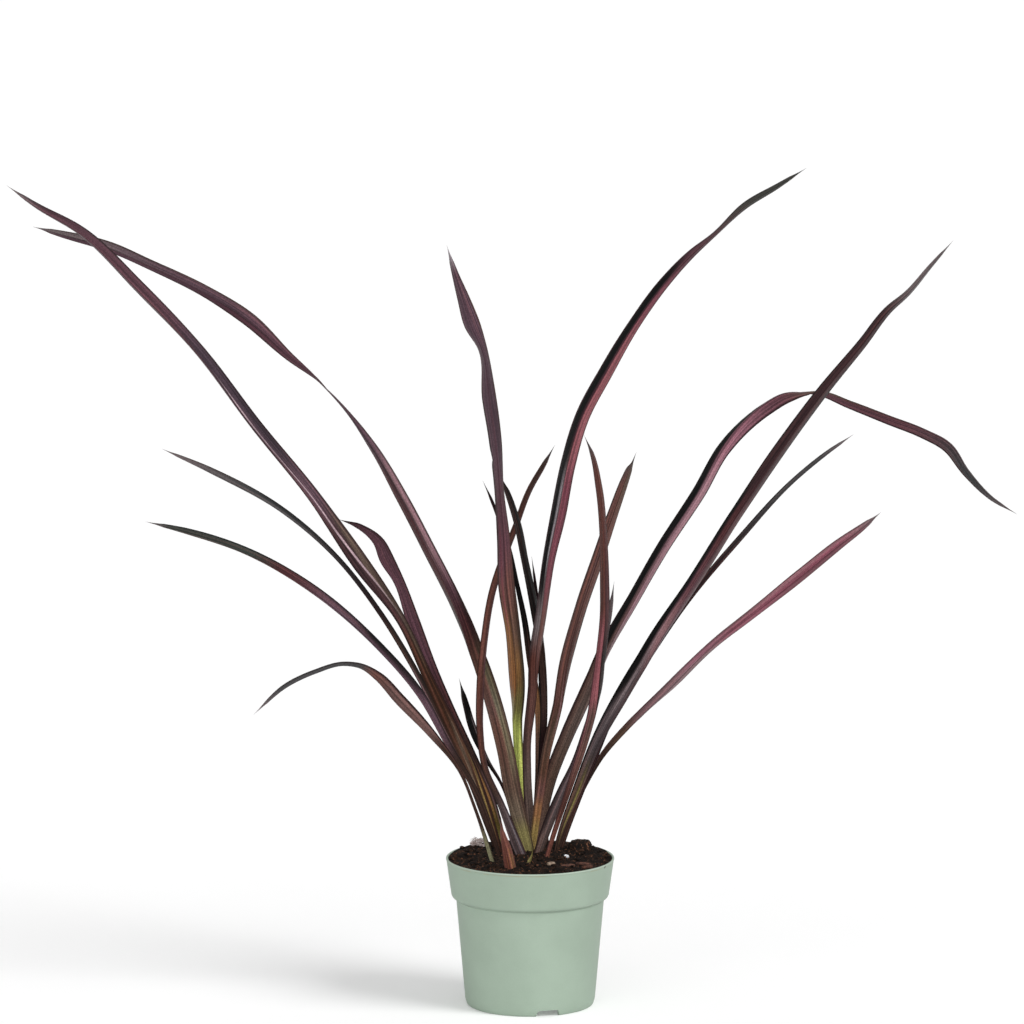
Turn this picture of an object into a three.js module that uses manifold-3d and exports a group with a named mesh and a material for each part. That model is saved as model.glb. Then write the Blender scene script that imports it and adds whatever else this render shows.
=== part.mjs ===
// A young New Zealand flax with dark pink and bronze leaves, in its round nursery pot.
// Millimetres, +Z up. The origin is the middle of the pot's underside, and -Y is the front.
import * as THREE from 'three';
import { mergeVertices } from 'three/addons/utils/BufferGeometryUtils.js';
import Module from 'manifold-3d';

const wasm = await Module();
wasm.setup();

// Driving dimensions of the pot.
const POT = {
  rimRadius: 60.3,
  height: 107,
  bandHeight: 27.2,
  bandLowRadius: 56.4,
  stepHeight: 2.2,
  bodyTopRadius: 53.1,
  bodyLowRadius: 46.6,
  footRadius: 44.4,
  wall: 1.2,
  floor: 1.5,
  edge: 0.8,
  lip: 0.4,
  draft: 1.5,
  channelHeight: 4.6,
  channelInner: 26,
  channelOuter: 42,
  sides: 48,
};

// Openings in the pot's foot ring and floor, counted round from the first.
const NOTCH = { count: 3, width: 17, corner: 3, clearance: 3, firstDegrees: 16.3 };
const DRAIN = { count: 6, radius: 4, ring: 34, sides: 10, firstDegrees: 46.3 };

// The soil fills the pot, a little lower at the front than round the crown and at the back.
const SOIL = {
  frontLevel: 103.8,
  rise: 4.4,
  riseFrom: -10,
  riseTo: 26,
  edgeDrop: 0.7,
  lump: 0.5,
  lumpLengths: [33, 27],
  lumpShifts: [1.3, -0.4],
  gap: 0.45,
  rings: 6,
  sides: 48,
};

// Every leaf is a strap folded along its middle. The two halves part by twice the slit where the
// leaf is nearly closed, and its last stretch, of tipLength, narrows to a point.
const LEAF = {
  blade: 0.65,
  keel: 0.8,
  keelShare: 0.75,
  slit: 0.12,
  leastHalf: 1.2,
  step: 17,
  leastSteps: 7,
  tipLength: 9,
};

// The hole that a leaf's base stands in, with the distances along the leaf where it is measured.
const HOLE = { gap: 0.5, below: 0.7, keelGap: 0.6, distances: [8, 16, 27] };

// Loose bits are uneven balls, with more faces where they are large.
const BIT = { swell: 0.1, ripple: 0.06, largeRadius: 3 };

// Colours taken by eye from the photograph.
const COLOUR = {
  pot: 0xabbeab,
  soil: 0x241b15,
  bronze: 0x4f3a3e,
  dark: 0x2c2326,
  pink: 0x8d5a63,
  rose: 0x8f5357,
  brown: 0x5c463e,
  grey: 0x5b5252,
  olive: 0x767145,
  tan: 0xa46a4c,
  perlite: 0xd9dbdd,
  straw: 0xb59a86,
  husk: 0xa8979a,
};

// The leaves, each from its base in the soil to its tip. A place gives x, y and z of the middle of the
// band that the leaf shows from the front, the width of one half, the angle between the two halves,
// and the angle that the open side is turned to: 0 is the front, 90 the right, -90 the left.
const LEAVES = {
  leaf_left_tall: {
    colour: COLOUR.bronze,
    places: [
      [-18, 16, 95, 4.6, 14, 90],
      [-22, 15, 109, 4.8, 16, 90],
      [-42, 13, 168, 8.5, 22, 95],
      [-56, 12, 199, 9.5, 28, 100],
      [-72, 10, 234, 8, 40, 108],
      [-93, 8, 280, 7.5, 50, 120],
      [-121, 4, 321, 13, 60, 140],
      [-153, 1, 368, 10, 65, 150],
      [-194, -3, 420, 8.5, 70, 152],
      [-236, -8, 477, 7.5, 75, 155],
      [-277, -14, 522, 7.5, 75, 160],
      [-318, -20, 563, 6, 75, 160],
      [-348, -25, 581, 4, 70, 160],
      [-369, -28, 596, 1, 60, 160],
    ],
  },
  leaf_left_high: {
    colour: COLOUR.pink,
    places: [
      [2, 20, 95, 6.5, 12, 95],
      [-1, 19, 108, 8, 14, 95],
      [-12, 18, 149, 13, 20, 104],
      [-18, 19, 182, 13, 28, 115],
      [-27, 21, 218, 13.5, 38, 135],
      [-39, 24, 254, 13, 50, 155],
      [-54, 27, 289, 10, 60, 170],
      [-74, 32, 328, 8.5, 66, 176],
      [-92, 38, 362, 7.5, 72, 176],
      [-111, 46, 395, 4.5, 95, 160],
      [-130, 56, 420, 3, 140, 120],
      [-152, 66, 442, 4, 165, 90],
      [-173, 76, 458, 5, 150, 60],
      [-202, 90, 483, 7.5, 120, 45],
      [-235, 106, 502, 6.5, 100, 40],
      [-275, 122, 519, 6, 90, 38],
      [-306, 132, 531, 6, 90, 35],
      [-341, 142, 539, 4, 80, 35],
      [-361, 148, 543, 1, 70, 35],
    ],
  },
  leaf_left_arched: {
    colour: COLOUR.bronze,
    places: [
      [-16, 25, 95, 5.5, 14, 90],
      [-19, 24, 108, 6, 16, 90],
      [-30, 23, 148, 7.5, 20, 92],
      [-43.5, 23, 179, 7.8, 26, 98],
      [-57.5, 24, 209, 8.3, 36, 108],
      [-71, 26, 240, 9, 46, 118],
      [-84, 30, 274, 10, 55, 125],
      [-94.5, 35, 303, 8.2, 60, 125],
      [-103, 39, 318, 10.8, 65, 120],
      [-109, 42, 330, 8.5, 75, 115],
      [-121, 46, 339, 5.2, 85, 110],
      [-137, 50, 344, 2.6, 80, 105],
    ],
  },
  leaf_left_thin: {
    colour: COLOUR.dark,
    places: [
      [-20, 32, 96, 4, 16, 90],
      [-25, 31, 109, 4.5, 18, 90],
      [-52, 34, 177, 4.5, 36, 105],
      [-67, 38, 206, 4.5, 50, 115],
      [-86, 46, 241, 4.5, 60, 120],
      [-108, 57, 275, 4, 60, 125],
      [-140, 75, 313, 3.8, 60, 125],
      [-180, 97, 344, 4.5, 65, 130],
      [-231, 122, 368, 4.5, 70, 135],
      [-268, 140, 381, 1, 60, 135],
    ],
  },
  leaf_left_low: {
    colour: COLOUR.grey,
    places: [
      [-19, 8, 94, 3, 14, 90],
      [-22, 8, 105, 3, 16, 90],
      [-37, 5, 150, 4.4, 24, 96],
      [-59, 0, 190, 4.6, 34, 104],
      [-78, -7, 227, 6, 48, 114],
      [-107, -18, 264, 5.9, 58, 120],
      [-153, -34, 308, 6.5, 60, 125],
      [-201, -50, 339, 5.5, 60, 125],
      [-243, -66, 356, 4.5, 60, 125],
      [-271, -76, 364, 1, 60, 125],
    ],
  },
  leaf_left_bent: {
    colour: COLOUR.bronze,
    places: [
      [-24, -1, 92, 3.2, 16, 90],
      [-27.5, -2, 105, 3.4, 18, 90],
      [-39.5, -7, 144, 2.4, 24, 96],
      [-50, -13, 172, 2.7, 32, 104],
      [-71, -24, 203, 6.3, 42, 112],
      [-93, -37, 230, 8.5, 52, 116],
      [-108, -50, 249, 7, 60, 118],
      [-120, -60, 258, 4.5, 70, 110],
      [-131, -68, 261, 4, 80, 105],
      [-151, -86, 259, 4, 80, 105],
      [-172, -104, 252, 4, 80, 105],
      [-194, -124, 235, 1, 70, 105],
    ],
  },
  leaf_centre_curved: {
    colour: COLOUR.brown,
    places: [
      [-2, 13, 95, 7, 14, 90],
      [-7, 12, 107, 8, 16, 90],
      [-21.5, 9, 145, 5.4, 24, 96],
      [-32.5, 8, 171, 4.8, 34, 100],
      [-36, 7, 197, 5.2, 45, 100],
      [-36, 6, 228, 6, 55, 100],
      [-33, 9, 264, 5.5, 55, 98],
      [-27, 14, 299, 5.5, 55, 96],
      [-19, 18, 323, 5.5, 55, 92],
      [-11, 22, 343, 5, 55, 90],
      [0, 27, 371, 4.5, 55, 88],
      [9, 31, 386, 4, 60, 86],
      [18, 36, 401, 1, 60, 84],
    ],
  },
  leaf_left_spear: {
    colour: COLOUR.dark,
    places: [
      [-10, 27, 96, 3.5, 14, 90],
      [-11, 27, 112, 2.6, 16, 90],
      [-14, 26, 136, 2.4, 20, 92],
      [-20.5, 25, 155, 2.2, 30, 96],
      [-31, 20, 174, 3.6, 45, 105],
      [-40, 15, 195, 6, 60, 130],
      [-46, 13, 215, 5, 65, 160],
      [-51, 11, 236, 1, 60, 165],
    ],
  },
  leaf_centre_tall: {
    colour: COLOUR.brown,
    places: [
      [-4, 31, 95, 5, 12, 80],
      [-5, 31, 109, 5.5, 14, 82],
      [-7, 29, 161, 6.5, 26, 110],
      [-9, 25, 191, 8.5, 40, 145],
      [-9, 16, 226, 11, 60, 172],
      [-12, 6, 266, 9.5, 68, 178],
      [-17, -2, 306, 10, 74, 180],
      [-19, -7, 339, 8.5, 66, 182],
      [-22, -10, 374, 8, 52, 184],
      [-25, -13, 412, 8.5, 66, 182],
      [-29, -16, 441, 8.5, 74, 180],
      [-34, -22, 479, 7.5, 56, 176],
      [-41, -26, 496, 8, 95, 172],
      [-47, -30, 515, 6, 100, 170],
      [-53, -34, 534, 3.5, 90, 168],
      [-59, -38, 555, 1, 70, 166],
    ],
  },
  leaf_centre_dark: {
    colour: COLOUR.dark,
    places: [
      [4, 39, 94, 4.5, 14, -90],
      [5, 39, 107, 4.5, 16, -90],
      [7, 38, 141, 5, 22, -95],
      [9, 31, 179, 5.5, 34, -105],
      [10, 21, 215, 5.5, 46, -120],
      [8, 15, 252, 6.5, 56, -150],
      [2, 11, 292, 6, 60, -170],
      [-4, 8, 322, 5, 60, -175],
      [-9, 4, 348, 5, 60, -175],
      [-17, 4, 373, 3.5, 60, -175],
      [-22, 5, 385, 1, 60, -175],
    ],
  },
  leaf_centre_thin: {
    colour: COLOUR.dark,
    places: [
      [-1, 45, 94, 3.5, 14, 90],
      [1, 45, 108, 3.5, 16, 90],
      [5, 44, 143, 4.5, 22, 92],
      [6, 38, 177, 5, 34, 96],
      [5, 30, 216, 5, 46, 105],
      [0, 24, 246, 5, 54, 120],
      [-4, 19, 276, 4.5, 58, 130],
      [-10, 14, 306, 3.5, 60, 135],
      [-15, 9, 329, 3.5, 60, 135],
      [-22, 7, 351, 3, 60, 135],
      [-29, 6, 369, 2, 60, 135],
      [-34, 5, 380, 1, 60, 135],
    ],
  },
  leaf_centre_spear: {
    colour: COLOUR.dark,
    places: [
      [13, 48, 94, 3.5, 14, -90],
      [12, 48, 108, 3.5, 16, -90],
      [11, 48, 143, 3.5, 22, -92],
      [10, 44, 184, 3.5, 32, -96],
      [8, 36, 222, 3.5, 42, -105],
      [7, 26, 261, 3.5, 52, -120],
      [5, 18, 291, 3, 58, -140],
      [1, 14, 324, 1, 60, -150],
    ],
  },
  leaf_right_high: {
    colour: COLOUR.pink,
    places: [
      [1, 27, 96, 5.5, 12, -92],
      [1, 27, 109, 6.5, 14, -94],
      [-2, 22, 163, 6.5, 22, -106],
      [-2, 18, 189, 6.5, 32, -124],
      [1, 12, 219, 9, 42, -150],
      [3, 6, 250, 9.5, 50, -170],
      [8, 1, 285, 8.5, 56, -178],
      [13, -6, 323, 8.5, 64, -182],
      [20, -13, 358, 9.5, 72, -184],
      [27, -20, 396, 9, 72, -184],
      [37, -27, 431, 8.5, 76, -182],
      [53, -35, 463, 8, 80, -180],
      [73, -44, 499, 6.5, 84, -178],
      [94, -54, 530, 6, 84, -176],
      [113, -62, 552, 5, 70, -176],
      [128, -69, 566, 4, 50, -178],
      [150, -78, 588, 4.5, 66, -180],
      [172, -88, 603, 3.5, 66, -180],
      [192, -96, 617, 1, 60, -180],
    ],
  },
  leaf_right_red: {
    colour: COLOUR.rose,
    places: [
      [9.5, 9, 96, 3.2, 14, -90],
      [12.5, 8, 107, 3.4, 16, -92],
      [29.5, 3, 162, 5.2, 28, -112],
      [38.5, -1, 191, 6.8, 38, -140],
      [46, -5, 223, 9, 48, -165],
      [50, -7, 252, 8, 54, -175],
      [53, -8, 281, 7.5, 56, -178],
      [53, -8, 310, 7, 56, -178],
      [52, -8, 343, 6, 56, -176],
      [49, -6, 376, 5.5, 56, -174],
      [44, -3, 400, 3, 60, -172],
      [38, 0, 414, 1, 60, -170],
    ],
  },
  leaf_right_grey: {
    colour: COLOUR.grey,
    places: [
      [3, 17, 97, 6.5, 14, -90],
      [7, 16, 110, 7, 16, -92],
      [15, 15, 133, 8, 18, -94],
      [23, 13, 153, 7, 24, -98],
      [32, 11, 173, 6, 32, -102],
      [41, 10, 201, 5, 44, -108],
      [49, 9, 227, 4.5, 52, -112],
      [53, 8, 260, 3.5, 58, -115],
      [57, 7, 284, 3.5, 58, -115],
      [60, 6, 307, 1, 58, -115],
    ],
  },
  leaf_right_split: {
    colour: COLOUR.brown,
    places: [
      [0, 23, 99, 5, 14, -90],
      [2, 23, 112, 5.5, 16, -92],
      [8, 21, 155, 6.5, 24, -106],
      [12, 20, 181, 7, 34, -126],
      [19, 19, 211, 9.5, 44, -155],
      [26, 17, 248, 10, 52, -172],
      [36, 16, 284, 9, 58, -178],
      [48, 16, 320, 8.5, 62, -180],
      [59, 19, 353, 7.5, 62, -180],
      [69, 24, 380, 5.5, 60, -180],
      [76, 28, 397, 1.5, 60, -180],
    ],
  },
  leaf_right_bent: {
    colour: COLOUR.pink,
    places: [
      [4, 32, 97, 6.5, 12, -92],
      [6, 32, 111, 7, 14, -94],
      [15, 30, 160, 10, 24, -106],
      [26, 29, 189, 10.5, 34, -122],
      [39, 28, 219, 12, 44, -145],
      [54, 28, 254, 10.5, 54, -165],
      [74, 30, 289, 9, 62, -174],
      [96, 34, 327, 8.5, 68, -178],
      [121, 39, 365, 8.5, 72, -182],
      [139, 44, 396, 8, 78, -190],
      [153, 50, 411, 8, 86, -212],
      [169, 57, 423, 8.5, 100, -232],
      [184, 64, 431, 9, 130, -252],
      [196, 69, 433, 8, 168, -270],
      [209, 74, 432, 7, 150, -292],
      [230, 80, 423, 6.5, 130, -306],
      [258, 86, 411, 7, 120, -310],
      [284, 90, 400, 7.5, 110, -310],
      [302, 93, 389, 8, 100, -308],
      [315, 96, 371, 6, 95, -305],
      [333, 99, 352, 3.5, 90, -303],
      [353, 102, 339, 1, 80, -300],
    ],
  },
  leaf_right_tall: {
    colour: COLOUR.bronze,
    places: [
      [17, 21, 96, 3.4, 14, -92],
      [19, 20, 109, 3.5, 16, -94],
      [35, 17, 156, 7.2, 24, -106],
      [48, 13, 190, 8.8, 34, -124],
      [66, 8, 225, 12, 42, -145],
      [89, 1, 265, 12.5, 50, -162],
      [114, -5, 304, 10, 56, -170],
      [144, -12, 354, 9.5, 58, -174],
      [176, -18, 404, 9.5, 60, -176],
      [206, -24, 447, 8.5, 60, -178],
      [234, -30, 483, 7, 60, -178],
      [253, -36, 509, 6, 56, -178],
      [265, -39, 520, 5.5, 46, -180],
      [281, -44, 540, 4, 44, -180],
      [297, -50, 560, 1, 50, -180],
    ],
  },
  leaf_right_thin: {
    colour: COLOUR.dark,
    places: [
      [19, 28, 97, 3.5, 14, -92],
      [23, 28, 111, 4.5, 16, -94],
      [45, 28, 170, 4.5, 34, -108],
      [59, 31, 204, 4.5, 48, -116],
      [85, 41, 245, 4.5, 58, -122],
      [115, 53, 287, 4.5, 60, -125],
      [151, 70, 327, 4.5, 60, -128],
      [188, 90, 364, 3.5, 60, -130],
      [214, 106, 383, 3, 60, -130],
      [235, 120, 395, 1, 60, -130],
    ],
  },
  leaf_right_pink: {
    colour: COLOUR.pink,
    places: [
      [16, 38, 95, 3.2, 14, -92],
      [20, 38, 109, 3.4, 16, -94],
      [37.5, 38, 148, 3.6, 24, -104],
      [51.5, 34, 174, 4.2, 32, -120],
      [70.5, 23, 199, 5.8, 40, -150],
      [98, 2, 229, 7.5, 50, -174],
      [129, -29, 266, 6, 62, -180],
      [159, -62, 297, 6, 74, -178],
      [188, -88, 326, 6.5, 84, -176],
      [216, -112, 354, 5.5, 84, -176],
      [231, -125, 368, 4, 76, -176],
      [244, -136, 381, 1, 60, -176],
    ],
  },
  old_leaf_stub: {
    colour: COLOUR.tan,
    places: [
      [-12, -23, 94, 5.5, 80, 178],
      [-14, -24, 103, 6, 84, 178],
      [-17, -25, 119, 5.5, 74, 176],
      [-20, -26, 131, 3.5, 60, 172],
      [-21, -28, 143, 1, 60, 170],
    ],
  },
  green_sheath: {
    colour: COLOUR.olive,
    places: [
      [-2, -8, 95, 4, 70, 180],
      [-1, -7, 104, 3.8, 70, 180],
      [1, -5, 109, 2.6, 70, 180],
      [2, -3, 115, 1, 60, 180],
    ],
  },
};

// Loose bits that lie half sunk in the soil, as a middle, three radii and a turn about the upright.
const BITS = {
  soil_clod_right: { at: [36, 26, 109], radii: [8.6, 8, 5.4], turn: 10, colour: COLOUR.soil },
  soil_clod_front: { at: [22, -30, 103.9], radii: [6, 4.6, 2.8], turn: 35, colour: COLOUR.soil },
  root_tuft: { at: [-37, 35, 111], radii: [7.5, 5, 4.4], turn: -20, colour: COLOUR.husk },
  perlite_grain: { at: [26, 7, 106], radii: [1.9, 1.6, 1.4], turn: 0, colour: COLOUR.perlite },
  pale_chip: { at: [15, -12, 104.6], radii: [3, 2.2, 1.3], turn: 25, colour: COLOUR.straw },
  bark_chip_left: { at: [27, -17, 104.4], radii: [5.5, 1.6, 1.1], turn: 12, colour: COLOUR.tan },
  bark_chip_middle: { at: [38, -12, 104.6], radii: [6, 1.5, 1.1], turn: -18, colour: COLOUR.tan },
  bark_chip_right: { at: [41, -21, 104.3], radii: [4.5, 1.5, 1], turn: 30, colour: COLOUR.tan },
};

const radians = THREE.MathUtils.degToRad;

// Solids and meshes.

function toSolid(geometry) {
  const bare = geometry.clone();
  bare.deleteAttribute('normal');
  bare.deleteAttribute('uv');
  const merged = mergeVertices(bare, 1e-3);
  return new wasm.Manifold(new wasm.Mesh({
    numProp: 3,
    vertProperties: new Float32Array(merged.attributes.position.array),
    triVerts: new Uint32Array(merged.index.array),
  }));
}

function toGeometry(solid) {
  const mesh = solid.getMesh();
  const geometry = new THREE.BufferGeometry();
  geometry.setAttribute('position', new THREE.BufferAttribute(mesh.vertProperties, 3));
  geometry.setIndex(new THREE.BufferAttribute(mesh.triVerts, 1));
  return geometry;
}

// A cut can leave scraps that hold on to nothing, and only the largest body stays.
function largestBody(solid) {
  const bodies = solid.decompose();
  return bodies.reduce((best, body) => (body.volume() > best.volume() ? body : best));
}

function addPiece(group, name, geometry, colour, roughness) {
  const smooth = geometry.clone();
  smooth.computeVertexNormals();
  const material = new THREE.MeshStandardMaterial({ color: colour, roughness, metalness: 0 });
  const mesh = new THREE.Mesh(smooth, material);
  mesh.name = name;
  group.add(mesh);
}

// Rings of points, joined to their neighbours, with a flat cap or a point at each end. The squares
// on a side are split along the other diagonal where isMirrored says so.
function skin(rings, startPoint, endPoint, isMirrored = () => false) {
  const count = rings[0].length;
  const points = [...rings.flat(), startPoint, endPoint];
  const start = rings.length * count;
  const faces = [];
  for (let i = 0; i < count; i++) {
    const next = (i + 1) % count;
    faces.push(start, next, i);
    const last = (rings.length - 1) * count;
    faces.push(start + 1, last + i, last + next);
  }
  for (let r = 0; r + 1 < rings.length; r++) {
    for (let i = 0; i < count; i++) {
      const next = (i + 1) % count;
      const a = r * count + i;
      const b = r * count + next;
      if (isMirrored(i)) faces.push(a, b, b + count, a, b + count, a + count);
      else faces.push(a, b, a + count, b, b + count, a + count);
    }
  }
  const geometry = new THREE.BufferGeometry();
  const flat = new Float32Array(points.flatMap((p) => [p.x, p.y, p.z]));
  geometry.setAttribute('position', new THREE.BufferAttribute(flat, 3));
  geometry.setIndex(faces);
  return geometry;
}

// The smooth curve through a leaf's places.

function distances(places) {
  const reach = [0];
  for (let i = 1; i < places.length; i++) {
    const [x, y, z] = [0, 1, 2].map((k) => places[i][k] - places[i - 1][k]);
    reach.push(reach[i - 1] + Math.hypot(x, y, z));
  }
  return reach;
}

function slopeAt(places, reach, i, k) {
  const rate = (j) => (places[j + 1][k] - places[j][k]) / (reach[j + 1] - reach[j]);
  if (i === 0) return rate(0);
  if (i === places.length - 1) return rate(i - 1);
  const before = reach[i] - reach[i - 1];
  const after = reach[i + 1] - reach[i];
  return (rate(i - 1) * after + rate(i) * before) / (before + after);
}

function placeAt(places, reach, distance) {
  let i = 0;
  while (i < places.length - 2 && distance > reach[i + 1]) i++;
  const span = reach[i + 1] - reach[i];
  const t = (distance - reach[i]) / span;
  return places[i].map((value, k) => {
    const next = places[i + 1][k];
    const out = slopeAt(places, reach, i, k) * span;
    const into = slopeAt(places, reach, i + 1, k) * span;
    const bend = t * t * (3 - 2 * t);
    return value + (next - value) * bend + out * t * (1 - t) ** 2 - into * t * t * (1 - t);
  });
}

// Where a leaf is at a distance along it: its middle, the way the fold opens, and the way across.
function frameAt(leaf, distance) {
  const [x, y, z, half, fold, turn] = placeAt(leaf.places, leaf.reach, distance);
  const [before, after] = [-0.5, 0.5].map((shift) => {
    const near = placeAt(leaf.places, leaf.reach, distance + shift);
    return new THREE.Vector3(...near.slice(0, 3));
  });
  const along = after.sub(before).normalize();
  const front = new THREE.Vector3(0, -1, 0);
  front.addScaledVector(along, -front.dot(along)).normalize();
  const right = new THREE.Vector3().crossVectors(along, front);
  const opening = front.clone().multiplyScalar(Math.cos(radians(turn)));
  opening.addScaledVector(right, Math.sin(radians(turn)));
  const across = new THREE.Vector3().crossVectors(along, opening);

  // The fold's line is placed so that the two halves lie evenly about the leaf's middle.
  const arms = [turn - fold / 2, turn + fold / 2].map(radians);
  const sideways = [0, ...arms.map(Math.sin)];
  const forward = [0, ...arms.map(Math.cos)];
  const middle = (list) => (Math.max(...list) + Math.min(...list)) / 2;
  const corner = new THREE.Vector3(x, y, z);
  corner.addScaledVector(right, -half * middle(sideways));
  corner.addScaledVector(front, -half * middle(forward));
  return { corner, opening, across, half, fold: radians(fold) };
}

function pointsIn(frame, flat) {
  return flat.map(([out, side]) => frame.corner.clone()
    .addScaledVector(frame.opening, out)
    .addScaledVector(frame.across, side));
}

// The folded blade's section: keel, margin and inner face on one side, then the same on the other.
function bladeSection(frame) {
  const sine = Math.sin(frame.fold / 2);
  const cosine = Math.cos(frame.fold / 2);
  const half = Math.max(frame.half, LEAF.leastHalf);
  const edge = [half * cosine, Math.max(half * sine, LEAF.blade * cosine + LEAF.slit)];
  const inner = [edge[0] + LEAF.blade * sine, edge[1] - LEAF.blade * cosine];
  const groove = Math.min(LEAF.keel / sine, LEAF.keelShare * inner[0]);
  return pointsIn(frame, [
    [0, 0],
    [edge[0], -edge[1]],
    [inner[0], -inner[1]],
    [groove, 0],
    inner,
    edge,
  ]);
}

// Both faces of a blade are split along like diagonals, so they stay parallel where it twists.
function leafGeometry(leaf) {
  const length = leaf.reach.at(-1);
  const steps = Math.max(LEAF.leastSteps, Math.round(length / LEAF.step));
  const rings = [];
  for (let i = 0; i <= steps; i++) {
    rings.push(bladeSection(frameAt(leaf, (length - LEAF.tipLength) * i / steps)));
  }
  const [keel, , , groove] = rings[0];
  const base = keel.clone().add(groove).divideScalar(2);
  const tip = new THREE.Vector3(...leaf.places.at(-1));
  return skin(rings, base, tip, (side) => side % 3 === 2);
}

// The plain hole in the soil is a little wider than the leaf, and open at the top.
function holeSection(leaf, distance) {
  const frame = frameAt(leaf, distance);
  const edge = frame.half * Math.cos(frame.fold / 2);
  const out = edge + LEAF.blade + HOLE.gap;
  const spread = Math.max(frame.half * Math.sin(frame.fold / 2), LEAF.blade + LEAF.slit);
  const side = spread + HOLE.gap;
  return pointsIn(frame, [
    [-HOLE.gap, HOLE.keelGap],
    [-HOLE.gap, -HOLE.keelGap],
    [edge, -side],
    [out, -side],
    [out, side],
    [edge, side],
  ]);
}

function leafHole(leaf) {
  const rings = [-HOLE.below, ...HOLE.distances].map((distance) => holeSection(leaf, distance));
  const centre = ([keelRight, keelLeft, , farLeft, farRight]) => keelRight.clone()
    .add(keelLeft).add(farLeft).add(farRight).divideScalar(4);
  return skin(rings, centre(rings[0]), centre(rings.at(-1)));
}

// The pot.

// The pot's outline, up its outside and down its inside. A ring under the floor is raised, so the pot
// stands on a middle disc and on its outer foot.
function potProfile() {
  const bandLow = POT.height - POT.bandHeight;
  const bodyTop = bandLow - POT.stepHeight;
  const raisedFloor = POT.channelHeight + POT.floor;
  const outside = [
    [0, 0],
    [POT.channelInner, 0],
    [POT.channelInner + POT.draft, POT.channelHeight],
    [POT.channelOuter - POT.draft, POT.channelHeight],
    [POT.channelOuter, 0],
    [POT.footRadius, 0],
    [POT.footRadius + POT.draft, POT.edge],
    [POT.bodyLowRadius, POT.channelHeight],
    [POT.bodyTopRadius, bodyTop],
    [POT.bandLowRadius - POT.edge, bandLow - POT.edge],
    [POT.bandLowRadius, bandLow],
    [POT.rimRadius, POT.height - POT.edge],
    [POT.rimRadius - POT.lip, POT.height],
  ];
  const inside = [
    [POT.rimRadius - POT.wall, POT.height],
    [POT.rimRadius - POT.wall - POT.lip, POT.height - POT.edge],
    [POT.bandLowRadius - POT.wall, bandLow + POT.wall / 2],
    [POT.bodyTopRadius - POT.wall, bodyTop + POT.edge],
    [POT.bodyLowRadius - POT.wall, raisedFloor + POT.draft],
    [POT.bodyLowRadius - POT.wall - POT.draft, raisedFloor],
    [POT.channelInner + POT.edge + POT.draft, raisedFloor],
    [POT.channelInner + POT.edge, POT.floor],
    [0, POT.floor],
  ];
  return { outside, inside };
}

function lathe(profile, sides) {
  const points = profile.map(([radius, height]) => new THREE.Vector2(radius, height));
  return new THREE.LatheGeometry(points, sides).rotateX(Math.PI / 2);
}

// A low opening with round upper corners, cut outwards through the foot ring.
function notchGeometry(degrees) {
  const half = NOTCH.width / 2;
  const shape = new THREE.Shape();
  shape.moveTo(-half, -NOTCH.clearance);
  shape.lineTo(half, -NOTCH.clearance);
  shape.lineTo(half, POT.channelHeight - NOTCH.corner);
  shape.quadraticCurveTo(half, POT.channelHeight, half - NOTCH.corner, POT.channelHeight);
  shape.lineTo(-half + NOTCH.corner, POT.channelHeight);
  shape.quadraticCurveTo(-half, POT.channelHeight, -half, POT.channelHeight - NOTCH.corner);
  shape.closePath();
  const depth = POT.bodyLowRadius - POT.channelOuter + 2 * NOTCH.clearance;
  const cut = new THREE.ExtrudeGeometry(shape, { depth, bevelEnabled: false, curveSegments: 3 });
  cut.rotateX(Math.PI / 2);
  cut.translate(0, -POT.channelOuter + NOTCH.clearance, 0);
  return cut.rotateZ(radians(degrees));
}

function drainGeometry(degrees) {
  const through = POT.channelHeight + 3 * POT.floor;
  const cut = new THREE.CylinderGeometry(DRAIN.radius, DRAIN.radius, through, DRAIN.sides);
  cut.rotateX(Math.PI / 2);
  cut.translate(0, -DRAIN.ring, POT.channelHeight + POT.floor / 2);
  return cut.rotateZ(radians(degrees));
}

function potGeometry() {
  const { outside, inside } = potProfile();
  let pot = toSolid(lathe([...outside, ...inside], POT.sides));
  for (let i = 0; i < NOTCH.count; i++) {
    pot = pot.subtract(toSolid(notchGeometry(NOTCH.firstDegrees + 360 * i / NOTCH.count)));
  }
  for (let i = 0; i < DRAIN.count; i++) {
    pot = pot.subtract(toSolid(drainGeometry(DRAIN.firstDegrees + 360 * i / DRAIN.count)));
  }
  return toGeometry(pot);
}

// The soil.

function soilHeight(x, y) {
  const rise = THREE.MathUtils.smoothstep(y, SOIL.riseFrom, SOIL.riseTo) * SOIL.rise;
  const edge = SOIL.edgeDrop * (Math.hypot(x, y) / POT.rimRadius) ** 8;
  const [waveX, waveY] = [x, y].map((value, k) => (
    2 * Math.PI * value / SOIL.lumpLengths[k] + SOIL.lumpShifts[k]));
  return SOIL.frontLevel + rise - edge + SOIL.lump * Math.sin(waveX) * Math.cos(waveY);
}

// The soil's radius at a height beside the band, where the pot's wall leans outwards.
function soilWallRadius(height) {
  const [, top, low] = potProfile().inside;
  const share = (height - low[1]) / (top[1] - low[1]);
  return low[0] + (top[0] - low[0]) * share - SOIL.gap;
}

function circle(radiusAndHeight) {
  const ring = [];
  for (let i = 0; i < SOIL.sides; i++) {
    const angle = 2 * Math.PI * i / SOIL.sides;
    const [radius, height] = radiusAndHeight(angle);
    ring.push(new THREE.Vector3(Math.cos(angle) * radius, Math.sin(angle) * radius, height));
  }
  return ring;
}

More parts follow.
